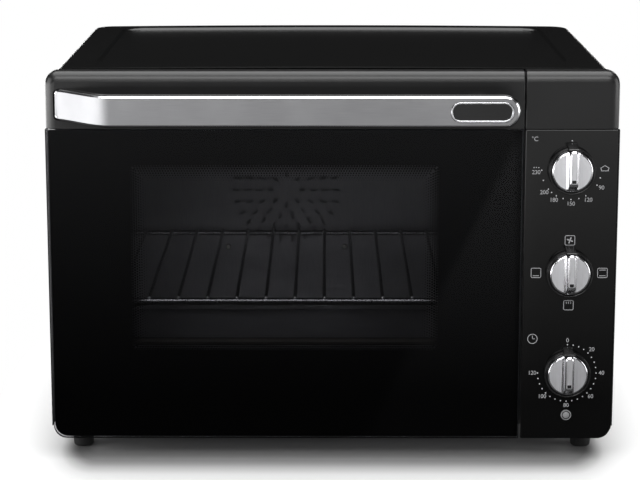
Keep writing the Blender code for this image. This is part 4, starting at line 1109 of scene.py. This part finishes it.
def feet():
    for depth in ("front", "rear"):
        for side in ("left", "right"):
            node = f"foot_{depth}_{side}"
            low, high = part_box(node)
            centre = ((low.x + high.x) / 2, (low.y + high.y) / 2, 0)
            top = high.z / MM
            profile = [
                (0, top), (9.6, top), (9.6, top - 1.2), (9.2, top - 1.6), (9.0, top - 4), (8.4, 3.2),
                (8.3, 1.4), (7.9, 0.5), (7.2, 0), (3.6, 0), (3.2, 0.5), (3.2, 5), (0, 5),
            ]
            foot = turned(f"{node}_rubber", mm(profile), centre, (0, 0, 1), [RUBBER], 40)
            place(foot, "cabinet", "rubber", node)


def rear_details():
    """Screws on the back, the fan motor's cover and the base, as they would be driven."""
    places = [(-0.190, 0.045), (-0.190, 0.165), (-0.190, 0.290), (0.030, 0.290), (0.195, 0.290)]
    places += [(0.195, 0.120), (-0.120, 0.045), (0.060, 0.045)]
    screws("rear_screw", [(x, REAR_FACE, z) for x, z in places], (0, 1, 0), 0.0034)
    middle = (COVER_LOW + COVER_HIGH) / 2
    reach = (COVER_HIGH.x - COVER_LOW.x) / 2 - 0.009
    flange = COVER_HIGH.y - 0.0022
    spots = [(middle.x + u * reach, flange, middle.z + v * reach) for u, v in FOUR_CORNERS]
    screws("cover_screw", spots, (0, 1, 0), 0.0030)
    spots = [(x, y, BASE_FACE) for y in (-0.100, 0.130) for x in (-0.150, 0.100)]
    screws("base_screw", spots, (0, 0, -1), 0.0034)


def wiring():
    """Insulated leads from the controls and the lamp to the terminal block and the heaters."""
    block_low, block_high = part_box("terminal_block")
    top = block_high.z
    routes = [
        [(0.186, -0.103, 0.234), (0.178, -0.085, 0.225), (0.150, -0.040, 0.170), (0.165, 0.060, 0.080)],
        [(0.200, -0.103, 0.234), (0.205, -0.080, 0.220), (0.160, -0.020, 0.150), (0.172, 0.070, 0.070)],
        [(0.186, -0.093, 0.150), (0.180, -0.075, 0.140), (0.158, -0.010, 0.110), (0.180, 0.075, 0.060)],
        [(0.202, -0.093, 0.150), (0.208, -0.070, 0.140), (0.175, 0.000, 0.100), (0.190, 0.080, 0.055)],
    ]
    ways = [block_low.x + 0.006 + index * 0.009 for index in range(4)]
    lines = [[*route, (x, 0.108, top + 0.020), (x, 0.109, top + 0.0006)] for route, x in zip(routes, ways)]
    leads = tube("leads", lines, 0.0011, [WIRE_WHITE], sides=3, smooth=True)
    place(leads, "cabinet", "ceramic")
    screws("terminal_screw", [(x, block_low.y + 0.004, top) for x in ways], (0, 0, 1), 0.0020)


def door_hooks():
    """Wire hooks on the door's pan that draw the rack out."""
    for side, x in (("left", RACK_LOW.x + 0.014), ("right", RACK_HIGH.x - 0.014)):
        z = RACK_LOW.z + 0.0022
        bends = ((-0.5, 20), (1.8, 20), (3.0, 16), (4.0, 8), (7.0, 6.5))
        line = [(x, PAN_BACK + out, z + rise) for out, rise in mm(bends)]
        hook = tube(f"rack_hook_{side}", [line], 0.0009, [CHROME], sides=4)
        place(hook, "door", "chrome_wire")


def pan_details():
    """Clips that hold the glass to the door's pan, each with its screw."""
    for index, (x, z) in enumerate(((-0.120, 0.262), (0.040, 0.262), (-0.120, 0.078), (0.040, 0.078))):
        inner = -0.010 if z > 0.2 else 0.010
        low = (x - 0.006, PAN_BACK + 0.0001, min(z, z + inner))
        high = (x + 0.006, PAN_BACK + 0.0009, max(z, z + inner))
        place(block(f"glass_clip_{index}", low, high, [ZINC], 0.0003), "door", "zinc_steel")
        screw(f"clip_screw_{index}", (x, high[1], z + inner * 0.3), (0, 1, 0), 0.0024, "door")


# ---------------- looks of the nodes that stay
NODE_LOOKS = {
    "black_sheet": BLACK_PAINT,
    "aluminised_steel": ALUMINISED,
    "black_glass": PANEL_BLACK,
    "dark_plastic": DARK_PLASTIC,
    "black_plastic": BLACK_PLASTIC,
    "brushed_metal": BRUSHED,
    "chrome_wire": CHROME,
    "heater_sheath": SHEATH,
    "ceramic": CERAMIC,
    "zinc_steel": ZINC,
    "phenolic": PHENOLIC,
    "pilot_lens": LENS,
    "rubber": RUBBER,
}


def dress_nodes():
    for entry in frame["record"]["subparts"]:
        node = NODES[entry["node"]]
        look = NODE_LOOKS[entry["material_slot"]]
        for slot in node.material_slots:
            slot.material = look


# ---------------- assembly
bpy.context.scene.view_settings.view_transform = "Standard"
make_camera()
make_world()
make_lights()
make_floor()
dress_nodes()
outer_wrap()
door_pane()
door_rail()
handle()
control_column()
scales()
for knob_name in KNOB_Z:
    knob(knob_name)
wire_rack()
heaters()
fan_grille()
feet()
rear_details()
wiring()
door_hooks()
pan_details()
